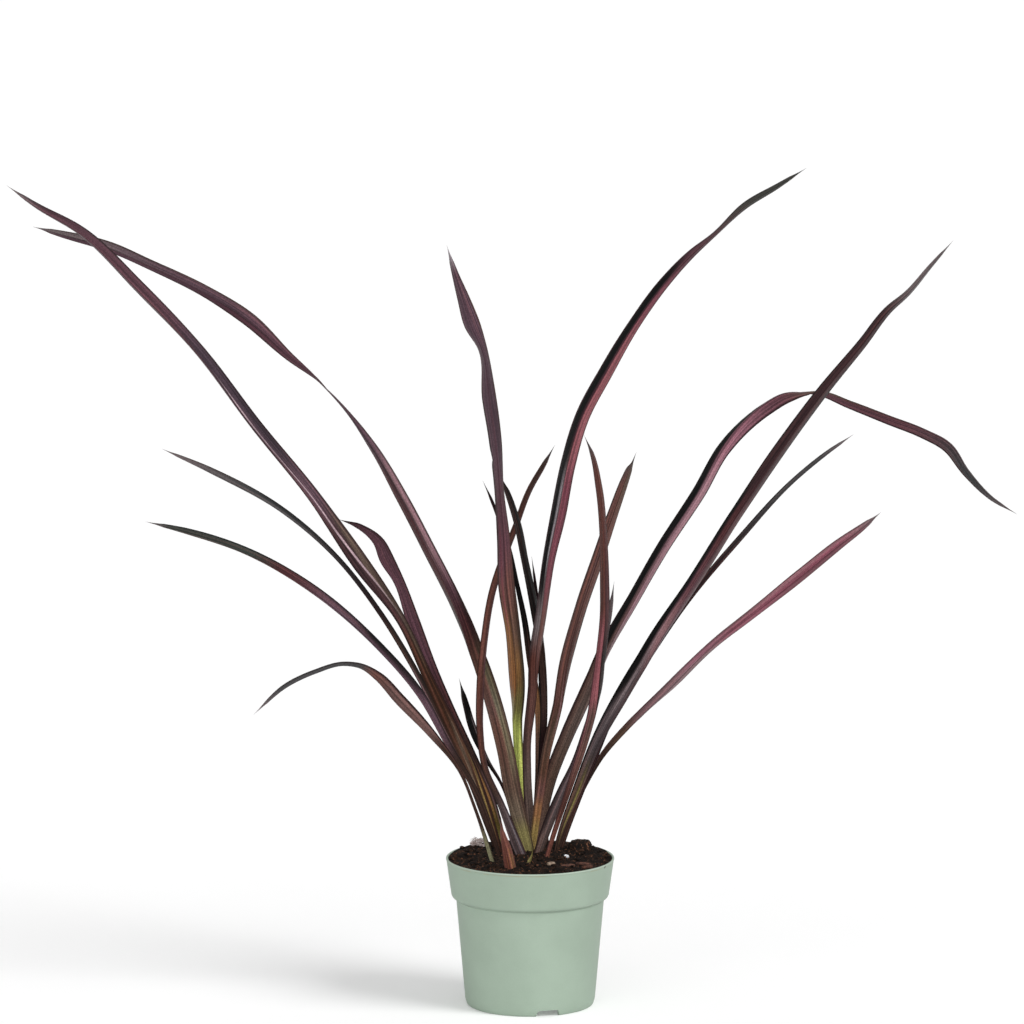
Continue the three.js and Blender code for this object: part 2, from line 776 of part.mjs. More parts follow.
// The soil is an even gap inside the pot, and its top is a field of low lumps.
function soilGeometry() {
  const wall = potProfile().inside.slice(2).reverse();
  const floorPoints = wall.slice(1, 4);
  const wallPoints = wall.slice(4);
  const rings = [
    ...floorPoints.map(([radius, height]) => circle(() => [radius - SOIL.gap, height + SOIL.gap])),
    ...wallPoints.map(([radius, height]) => circle(() => [radius - SOIL.gap, height])),
  ];
  const topAt = (angle, radius) => soilHeight(Math.cos(angle) * radius, Math.sin(angle) * radius);
  const edgeAt = (angle) => topAt(angle, POT.rimRadius - POT.wall);
  rings.push(circle((angle) => [soilWallRadius(edgeAt(angle)), edgeAt(angle)]));
  for (let i = SOIL.rings - 1; i > 0; i--) {
    rings.push(circle((angle) => {
      const radius = soilWallRadius(edgeAt(angle)) * i / SOIL.rings;
      return [radius, topAt(angle, radius)];
    }));
  }
  const bottom = new THREE.Vector3(0, 0, POT.floor + SOIL.gap);
  const top = new THREE.Vector3(0, 0, soilHeight(0, 0));
  let soil = toSolid(skin(rings, bottom, top));
  for (const leaf of Object.values(LEAVES)) soil = soil.subtract(toSolid(leafHole(leaf)));
  for (const bit of Object.values(BITS)) soil = soil.subtract(toSolid(bitGeometry(bit, SOIL.gap)));
  return toGeometry(largestBody(soil));
}

// An uneven lump, which a gap makes larger all round.
function bitGeometry(bit, gap) {
  const isLarge = bit.radii[1] > BIT.largeRadius;
  const ball = new THREE.IcosahedronGeometry(1, isLarge ? 2 : 1);
  const place = ball.attributes.position;
  for (let i = 0; i < place.count; i++) {
    const [x, y, z] = [place.getX(i), place.getY(i), place.getZ(i)];
    const swell = BIT.swell * Math.sin(4 * x + bit.at[0]) * Math.cos(5 * y + bit.at[1]);
    const uneven = 1 + swell + BIT.ripple * Math.sin(7 * z);
    const [rx, ry, rz] = bit.radii.map((radius) => radius * uneven + gap);
    place.setXYZ(i, x * rx, y * ry, z * rz);
  }
  ball.rotateZ(radians(bit.turn));
  return ball.translate(...bit.at);
}

// The whole plant.

for (const leaf of Object.values(LEAVES)) leaf.reach = distances(leaf.places);

const plant = new THREE.Group();
addPiece(plant, 'pot', potGeometry(), COLOUR.pot, 0.6);
addPiece(plant, 'soil', soilGeometry(), COLOUR.soil, 0.95);
for (const [name, leaf] of Object.entries(LEAVES)) {
  addPiece(plant, name, leafGeometry(leaf), leaf.colour, 0.5);
}
for (const [name, bit] of Object.entries(BITS)) {
  addPiece(plant, name, bitGeometry(bit, 0), bit.colour, 0.9);
}

export default plant;
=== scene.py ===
import math
import random

import bmesh
import bpy
import numpy as np
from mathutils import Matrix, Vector, noise


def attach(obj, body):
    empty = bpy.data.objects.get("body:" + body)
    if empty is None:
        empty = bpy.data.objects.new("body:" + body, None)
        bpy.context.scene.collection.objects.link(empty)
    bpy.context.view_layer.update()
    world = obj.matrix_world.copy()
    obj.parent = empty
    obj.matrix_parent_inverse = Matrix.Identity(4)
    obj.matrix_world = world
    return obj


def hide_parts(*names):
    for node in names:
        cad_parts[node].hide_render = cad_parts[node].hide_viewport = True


# A young New Zealand flax with dark pink and bronze leaves, in its round nursery pot.
# Metres in Blender, and millimetres in the tables. +Z is up, -Y is the front, and the origin is
# the middle of the pot's underside.

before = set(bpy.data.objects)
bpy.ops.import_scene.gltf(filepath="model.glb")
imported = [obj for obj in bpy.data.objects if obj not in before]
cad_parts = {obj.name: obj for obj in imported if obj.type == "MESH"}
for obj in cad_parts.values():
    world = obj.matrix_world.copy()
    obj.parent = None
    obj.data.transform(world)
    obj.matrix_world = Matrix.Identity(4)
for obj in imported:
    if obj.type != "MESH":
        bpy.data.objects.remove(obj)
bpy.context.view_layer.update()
MM = 0.001

# The camera that the photograph's perspective and framing ask for.
CAMERA = {"aim": (-13, 0, 358), "distance": 6000, "tilt_degrees": 9.6, "lens": 296.2}

# Pot, as the solid has it, with the radii of its rounded corners.
POT = {
    "rim_radius": 60.3, "height": 107.0, "band_height": 27.2, "band_low_radius": 56.4,
    "step_height": 2.2, "body_top_radius": 53.1, "body_low_radius": 46.6, "foot_radius": 44.4,
    "wall": 1.2, "floor": 1.5, "edge": 0.8, "draft": 1.5, "channel_height": 4.6,
    "channel_inner": 26.0, "channel_outer": 42.0, "lip_height": 1.5, "corner_steps": 6,
    "sides": 192, "dirt_crumb": (53.2, -27.6, 105.6),
}
NOTCH = {"count": 3, "width": 17.0, "corner": 3.0, "corner_points": 6, "clearance": 3.0,
         "first_degrees": 16.3}
DRAIN = {"count": 6, "radius": 4.0, "ring": 34.0, "sides": 24, "first_degrees": 46.3}

# Soil surface, low at the front and heaped round the crown and at the back.
SOIL = {
    "front_level": 103.8, "rise": 4.4, "rise_from": -10.0, "rise_to": 26.0, "edge_drop": 0.7,
    "gap": 0.3, "rings": 84, "sides": 240, "wall_drops": (26, 18, 10, 6), "edge_rings": 4,
    "crumbs": 420, "crumbs_radius": 56.5,
}

# Fine form of every leaf: blade thickness at the keel and the margin, and how closely it is divided.
LEAF = {
    "blade": 0.65, "keel": 0.8, "keel_share": 0.75, "margin": 0.36, "slit": 0.12,
    "least_half": 1.2, "slim_half": 3.0, "tip_length": 14.0, "tip_gap": 0.4, "tip_share": 0.06,
    "station": 2.6, "tip_stations": 10, "columns": 9, "rounding": 0.05, "arch": 0.03,
    "wave": 0.3, "wave_length": 38.0, "crowding": 0.9, "least_opening": 0.004,
    "nick_below": 1.3, "nick_above": 0.8, "short_keeps": 0.12, "short_fade": 6.0,
}

# The leaves, each from its base in the soil to its tip. A place gives x, y and z of the middle of
# the band that the leaf shows from the front, the width of one half, the angle between the halves,
# and the angle that the open side is turned to: 0 is the front, 90 the right, -90 the left.
LEAVES = {
    "leaf_left_tall": [
        (-18, 16, 95, 4.6, 14, 90), (-22, 15, 109, 4.8, 16, 90), (-42, 13, 168, 8.5, 22, 95),
        (-56, 12, 199, 9.5, 28, 100), (-72, 10, 234, 8, 40, 108), (-93, 8, 280, 7.5, 50, 120),
        (-121, 4, 321, 13, 60, 140), (-153, 1, 368, 10, 65, 150), (-194, -3, 420, 8.5, 70, 152),
        (-236, -8, 477, 7.5, 75, 155), (-277, -14, 522, 7.5, 75, 160), (-318, -20, 563, 6, 75, 160),
        (-348, -25, 581, 4, 70, 160), (-369, -28, 596, 1, 60, 160),
    ],
    "leaf_left_high": [
        (2, 20, 95, 6.5, 12, 95), (-1, 19, 108, 8, 14, 95), (-12, 18, 149, 13, 20, 104),
        (-18, 19, 182, 13, 28, 115), (-27, 21, 218, 13.5, 38, 135), (-39, 24, 254, 13, 50, 155),
        (-54, 27, 289, 10, 60, 170), (-74, 32, 328, 8.5, 66, 176), (-92, 38, 362, 7.5, 72, 176),
        (-111, 46, 395, 4.5, 95, 160), (-130, 56, 420, 3, 140, 120), (-152, 66, 442, 4, 165, 90),
        (-173, 76, 458, 5, 150, 60), (-202, 90, 483, 7.5, 120, 45), (-235, 106, 502, 6.5, 100, 40),
        (-275, 122, 519, 6, 90, 38), (-306, 132, 531, 6, 90, 35), (-341, 142, 539, 4, 80, 35),
        (-361, 148, 543, 1, 70, 35),
    ],
    "leaf_left_arched": [
        (-16, 25, 95, 5.5, 14, 90), (-19, 24, 108, 6, 16, 90), (-30, 23, 148, 7.5, 20, 92),
        (-43.5, 23, 179, 7.8, 26, 98), (-57.5, 24, 209, 8.3, 36, 108), (-71, 26, 240, 9, 46, 118),
        (-84, 30, 274, 10, 55, 125), (-94.5, 35, 303, 8.2, 60, 125), (-103, 39, 318, 10.8, 65, 120),
        (-109, 42, 330, 8.5, 75, 115), (-121, 46, 339, 5.2, 85, 110), (-137, 50, 344, 2.6, 80, 105),
    ],
    "leaf_left_thin": [
        (-20, 32, 96, 4, 16, 90), (-25, 31, 109, 4.5, 18, 90), (-52, 34, 177, 4.5, 36, 105),
        (-67, 38, 206, 4.5, 50, 115), (-86, 46, 241, 4.5, 60, 120), (-108, 57, 275, 4, 60, 125),
        (-140, 75, 313, 3.8, 60, 125), (-180, 97, 344, 4.5, 65, 130), (-231, 122, 368, 4.5, 70, 135),
        (-268, 140, 381, 1, 60, 135),
    ],
    "leaf_left_low": [
        (-19, 8, 94, 3, 14, 90), (-22, 8, 105, 3, 16, 90), (-37, 5, 150, 4.4, 24, 96),
        (-59, 0, 190, 4.6, 34, 104), (-78, -7, 227, 6, 48, 114), (-107, -18, 264, 5.9, 58, 120),
        (-153, -34, 308, 6.5, 60, 125), (-201, -50, 339, 5.5, 60, 125), (-243, -66, 356, 4.5, 60, 125),
        (-271, -76, 364, 1, 60, 125),
    ],
    "leaf_left_bent": [
        (-24, -1, 92, 3.2, 16, 90), (-27.5, -2, 105, 3.4, 18, 90), (-39.5, -7, 144, 2.4, 24, 96),
        (-50, -13, 172, 2.7, 32, 104), (-71, -24, 203, 6.3, 42, 112), (-93, -37, 230, 8.5, 52, 116),
        (-108, -50, 249, 7, 60, 118), (-120, -60, 258, 4.5, 70, 110), (-131, -68, 261, 4, 80, 105),
        (-151, -86, 259, 4, 80, 105), (-172, -104, 252, 4, 80, 105), (-194, -124, 235, 1, 70, 105),
    ],
    "leaf_centre_curved": [
        (-2, 13, 95, 7, 14, 90), (-7, 12, 107, 8, 16, 90), (-21.5, 9, 145, 5.4, 24, 96),
        (-32.5, 8, 171, 4.8, 34, 100), (-36, 7, 197, 5.2, 45, 100), (-36, 6, 228, 6, 55, 100),
        (-33, 9, 264, 5.5, 55, 98), (-27, 14, 299, 5.5, 55, 96), (-19, 18, 323, 5.5, 55, 92),
        (-11, 22, 343, 5, 55, 90), (0, 27, 371, 4.5, 55, 88), (9, 31, 386, 4, 60, 86),
        (18, 36, 401, 1, 60, 84),
    ],
    "leaf_left_spear": [
        (-10, 27, 96, 3.5, 14, 90), (-11, 27, 112, 2.6, 16, 90), (-14, 26, 136, 2.4, 20, 92),
        (-20.5, 25, 155, 2.2, 30, 96), (-31, 20, 174, 3.6, 45, 105), (-40, 15, 195, 6, 60, 130),
        (-46, 13, 215, 5, 65, 160), (-51, 11, 236, 1, 60, 165),
    ],
    "leaf_centre_tall": [
        (-4, 31, 95, 5, 12, 80), (-5, 31, 109, 5.5, 14, 82), (-7, 29, 161, 6.5, 26, 110),
        (-9, 25, 191, 8.5, 40, 145), (-9, 16, 226, 11, 60, 172), (-12, 6, 266, 9.5, 68, 178),
        (-17, -2, 306, 10, 74, 180), (-19, -7, 339, 8.5, 66, 182), (-22, -10, 374, 8, 52, 184),
        (-25, -13, 412, 8.5, 66, 182), (-29, -16, 441, 8.5, 74, 180), (-34, -22, 479, 7.5, 56, 176),
        (-41, -26, 496, 8, 95, 172), (-47, -30, 515, 6, 100, 170), (-53, -34, 534, 3.5, 90, 168),
        (-59, -38, 555, 1, 70, 166),
    ],
    "leaf_centre_dark": [
        (4, 39, 94, 4.5, 14, -90), (5, 39, 107, 4.5, 16, -90), (7, 38, 141, 5, 22, -95),
        (9, 31, 179, 5.5, 34, -105), (10, 21, 215, 5.5, 46, -120), (8, 15, 252, 6.5, 56, -150),
        (2, 11, 292, 6, 60, -170), (-4, 8, 322, 5, 60, -175), (-9, 4, 348, 5, 60, -175),
        (-17, 4, 373, 3.5, 60, -175), (-22, 5, 385, 1, 60, -175),
    ],
    "leaf_centre_thin": [
        (-1, 45, 94, 3.5, 14, 90), (1, 45, 108, 3.5, 16, 90), (5, 44, 143, 4.5, 22, 92),
        (6, 38, 177, 5, 34, 96), (5, 30, 216, 5, 46, 105), (0, 24, 246, 5, 54, 120),
        (-4, 19, 276, 4.5, 58, 130), (-10, 14, 306, 3.5, 60, 135), (-15, 9, 329, 3.5, 60, 135),
        (-22, 7, 351, 3, 60, 135), (-29, 6, 369, 2, 60, 135), (-34, 5, 380, 1, 60, 135),
    ],
    "leaf_centre_spear": [
        (13, 48, 94, 3.5, 14, -90), (12, 48, 108, 3.5, 16, -90), (11, 48, 143, 3.5, 22, -92),
        (10, 44, 184, 3.5, 32, -96), (8, 36, 222, 3.5, 42, -105), (7, 26, 261, 3.5, 52, -120),
        (5, 18, 291, 3, 58, -140), (1, 14, 324, 1, 60, -150),
    ],
    "leaf_right_high": [
        (1, 27, 96, 5.5, 12, -92), (1, 27, 109, 6.5, 14, -94), (-2, 22, 163, 6.5, 22, -106),
        (-2, 18, 189, 6.5, 32, -124), (1, 12, 219, 9, 42, -150), (3, 6, 250, 9.5, 50, -170),
        (8, 1, 285, 8.5, 56, -178), (13, -6, 323, 8.5, 64, -182), (20, -13, 358, 9.5, 72, -184),
        (27, -20, 396, 9, 72, -184), (37, -27, 431, 8.5, 76, -182), (53, -35, 463, 8, 80, -180),
        (73, -44, 499, 6.5, 84, -178), (94, -54, 530, 6, 84, -176), (113, -62, 552, 5, 70, -176),
        (128, -69, 566, 4, 50, -178), (150, -78, 588, 4.5, 66, -180), (172, -88, 603, 3.5, 66, -180),
        (192, -96, 617, 1, 60, -180),
    ],
    "leaf_right_red": [
        (9.5, 9, 96, 3.2, 14, -90), (12.5, 8, 107, 3.4, 16, -92), (29.5, 3, 162, 5.2, 28, -112),
        (38.5, -1, 191, 6.8, 38, -140), (46, -5, 223, 9, 48, -165), (50, -7, 252, 8, 54, -175),
        (53, -8, 281, 7.5, 56, -178), (53, -8, 310, 7, 56, -178), (52, -8, 343, 6, 56, -176),
        (49, -6, 376, 5.5, 56, -174), (44, -3, 400, 3, 60, -172), (38, 0, 414, 1, 60, -170),
    ],
    "leaf_right_grey": [
        (3, 17, 97, 6.5, 14, -90), (7, 16, 110, 7, 16, -92), (15, 15, 133, 8, 18, -94),
        (23, 13, 153, 7, 24, -98), (32, 11, 173, 6, 32, -102), (41, 10, 201, 5, 44, -108),
        (49, 9, 227, 4.5, 52, -112), (53, 8, 260, 3.5, 58, -115), (57, 7, 284, 3.5, 58, -115),
        (60, 6, 307, 1, 58, -115),
    ],
    "leaf_right_split": [
        (0, 23, 99, 5, 14, -90), (2, 23, 112, 5.5, 16, -92), (8, 21, 155, 6.5, 24, -106),
        (12, 20, 181, 7, 34, -126), (19, 19, 211, 9.5, 44, -155), (26, 17, 248, 10, 52, -172),
        (36, 16, 284, 9, 58, -178), (48, 16, 320, 8.5, 62, -180), (59, 19, 353, 7.5, 62, -180),
        (69, 24, 380, 5.5, 60, -180), (76, 28, 397, 1.5, 60, -180),
    ],
    "leaf_right_bent": [
        (4, 32, 97, 6.5, 12, -92), (6, 32, 111, 7, 14, -94), (15, 30, 160, 10, 24, -106),
        (26, 29, 189, 10.5, 34, -122), (39, 28, 219, 12, 44, -145), (54, 28, 254, 10.5, 54, -165),
        (74, 30, 289, 9, 62, -174), (96, 34, 327, 8.5, 68, -178), (121, 39, 365, 8.5, 72, -182),
        (139, 44, 396, 8, 78, -190), (153, 50, 411, 8, 86, -212), (169, 57, 423, 8.5, 100, -232),
        (184, 64, 431, 9, 130, -252), (196, 69, 433, 8, 168, -270), (209, 74, 432, 7, 150, -292),
        (230, 80, 423, 6.5, 130, -306), (258, 86, 411, 7, 120, -310), (284, 90, 400, 7.5, 110, -310),
        (302, 93, 389, 8, 100, -308), (315, 96, 371, 6, 95, -305), (333, 99, 352, 3.5, 90, -303),
        (353, 102, 339, 1, 80, -300),
    ],
    "leaf_right_tall": [
        (17, 21, 96, 3.4, 14, -92), (19, 20, 109, 3.5, 16, -94), (35, 17, 156, 7.2, 24, -106),
        (48, 13, 190, 8.8, 34, -124), (66, 8, 225, 12, 42, -145), (89, 1, 265, 12.5, 50, -162),
        (114, -5, 304, 10, 56, -170), (144, -12, 354, 9.5, 58, -174), (176, -18, 404, 9.5, 60, -176),
        (206, -24, 447, 8.5, 60, -178), (234, -30, 483, 7, 60, -178), (253, -36, 509, 6, 56, -178),
        (265, -39, 520, 5.5, 46, -180), (281, -44, 540, 4, 44, -180), (297, -50, 560, 1, 50, -180),
    ],
    "leaf_right_thin": [
        (19, 28, 97, 3.5, 14, -92), (23, 28, 111, 4.5, 16, -94), (45, 28, 170, 4.5, 34, -108),
        (59, 31, 204, 4.5, 48, -116), (85, 41, 245, 4.5, 58, -122), (115, 53, 287, 4.5, 60, -125),
        (151, 70, 327, 4.5, 60, -128), (188, 90, 364, 3.5, 60, -130), (214, 106, 383, 3, 60, -130),
        (235, 120, 395, 1, 60, -130),
    ],
    "leaf_right_pink": [
        (16, 38, 95, 3.2, 14, -92), (20, 38, 109, 3.4, 16, -94), (37.5, 38, 148, 3.6, 24, -104),
        (51.5, 34, 174, 4.2, 32, -120), (70.5, 23, 199, 5.8, 40, -150), (98, 2, 229, 7.5, 50, -174),
        (129, -29, 266, 6, 62, -180), (159, -62, 297, 6, 74, -178), (188, -88, 326, 6.5, 84, -176),
        (216, -112, 354, 5.5, 84, -176), (231, -125, 368, 4, 76, -176), (244, -136, 381, 1, 60, -176),
    ],
    "old_leaf_stub": [
        (-12, -23, 94, 5.5, 80, 178), (-14, -24, 103, 6, 84, 178), (-17, -25, 119, 5.5, 74, 176),
        (-20, -26, 131, 3.5, 60, 172), (-21, -28, 143, 1, 60, 170),
    ],
    "green_sheath": [
        (-2, -8, 95, 4, 70, 180), (-1, -7, 104, 3.8, 70, 180), (1, -5, 109, 2.6, 70, 180),
        (2, -3, 115, 1, 60, 180),
    ],
}

# Loose bits on the soil: the piece that shows each, where it lies, its half sizes, how it is turned
# and the seed of its shape. Colours are the main one, the dark one and the light one.
BITS = {
    "soil_clod_right": {"piece": "soil_clod_back_lump", "at": (36, 26, 109), "radii": (8.6, 8, 5.4),
                        "turn": 10, "seed": 11, "squareness": 0.7},
    "soil_clod_front": {"piece": "soil_clod_front_lump", "at": (22, -30, 103.9), "radii": (6, 4.6, 2.8),
                        "turn": 35, "seed": 12, "squareness": 0.85},
    "root_tuft": {"piece": "dry_root_tuft", "at": (-37, 35, 111), "radii": (7.5, 5, 4.4), "turn": -20,
                  "seed": 21, "fibres": 56, "colours": ("c3b4b0", "7d6c67", "e2d8d5")},
    "perlite_grain": {"piece": "perlite_bead", "at": (26, 7, 106), "radii": (1.9, 1.6, 1.4), "turn": 0,
                      "seed": 8, "colours": ("d8d9dc", "a9aaad", "f0f0f2")},
    "pale_chip": {"piece": "pale_bark_chip", "at": (15, -12, 104.6), "radii": (3, 2.2, 1.3), "turn": 25,
                  "seed": 31, "colours": ("93806f", "5e4b3d", "b5a390")},
    "bark_chip_left": {"piece": "red_chip_left", "at": (27, -17, 104.4), "radii": (5.5, 1.6, 1.1),
                       "turn": 12, "seed": 32, "colours": ("5a3a2e", "2c1c15", "7b5443")},
    "bark_chip_middle": {"piece": "red_chip_middle", "at": (38, -12, 104.6), "radii": (6, 1.5, 1.1),
                         "turn": -18, "seed": 33, "colours": ("4d3128", "251711", "6d4739")},
    "bark_chip_right": {"piece": "red_chip_right", "at": (41, -21, 104.3), "radii": (4.5, 1.5, 1),
                        "turn": 30, "seed": 34, "colours": ("583527", "2a1a13", "7a4c39")},
}

# Light from a large soft source at the right, a softer one at the left front, and a white room.
LIGHT = {
    "sky": 0.45, "floor_reach": 40.0,
    "suns": {
        "key": {"from": (0.86, -0.51, 0.72), "strength": 1.9, "softness": 30, "shadow": True},
        "fill": {"from": (-0.3, -0.85, 0.43), "strength": 1.9, "softness": 60, "shadow": False},
    },
}

# Colours: the leaves' first, then the pot's and the soil's.
COLOURS = {
    "ink": "1a1517", "soot": "2a2223", "umber": "3c302c", "maroon": "4b3234", "plum": "523a41",
    "grape": "54424a", "mauve": "5c3f46", "cocoa": "664843", "brown": "523c32", "bark": "58463d",
    "stone": "5c4e49", "taupe": "6c5e51", "russet": "5a3b36", "rust": "784e45", "fawn": "614b48",
    "dusk": "7b6064", "wine": "6a3540", "rose": "8c565c", "crimson": "7f4655", "orchid": "8a5f6b",
    "pink": "916e77", "blush": "b29aa0", "violet": "4f4750", "smoke": "554c4e", "iron": "464647",
    "lead": "3d403d", "ash": "6c6263", "silver": "979196", "moss": "4c4427", "olive": "746b42",
    "sage": "7f7d63", "khaki": "8a8156", "lime": "b4bd66", "straw": "957f50", "tan": "8a6446",
    "amber": "8f603b", "garnet": "3f3032", "peat": "3d2c25", "plumblack": "43383f", "shell": "966a72",
    "claret": "73444e", "ochre": "7a5a3a", "sorrel": "4a322d", "pot": "879788", "pot_pale": "8d9d8e",
    "lip_highlight": "b4c0b2", "groove_brown": "8d8468", "soil_stain_and_shade": "2b2218", "speck": "3d3326", "soil_dark": "070504",
    "soil_mid": "1b120d", "soil_warm": "3a261a", "soil_fibre": "6b4734",
}

# The studio light lifts every leaf colour by a grey sheen, which its skin's own colour allows for.
SHEEN = {"veil": 0.012, "gain": 1.12}

# What all leaf skins share. A streak gives its count across, its count in a metre of length, a
# shift of its pattern and its detail, from the finest to the broadest.
SKIN = {
    "streaks": [(15.0, 16.0, 0.0, 3.0), (5.5, 7.0, 5.0, 2.0), (1.6, 11.0, 9.0, 1.0)],
    "accent": "russet", "accent_strength": 0.3, "margin_strength": 0.85, "keel": "soot",
    "keel_strength": 0.45, "veins": 44.0, "specular": 0.08,
}

# Edges bent by more than these degrees show as edges.
SHARP_FROM = {"leaf": 50, "pot": 32, "soil": 60, "chip": 45}

# Noise stays mostly between these values.
NOISE_RANGE = (0.3, 0.7)

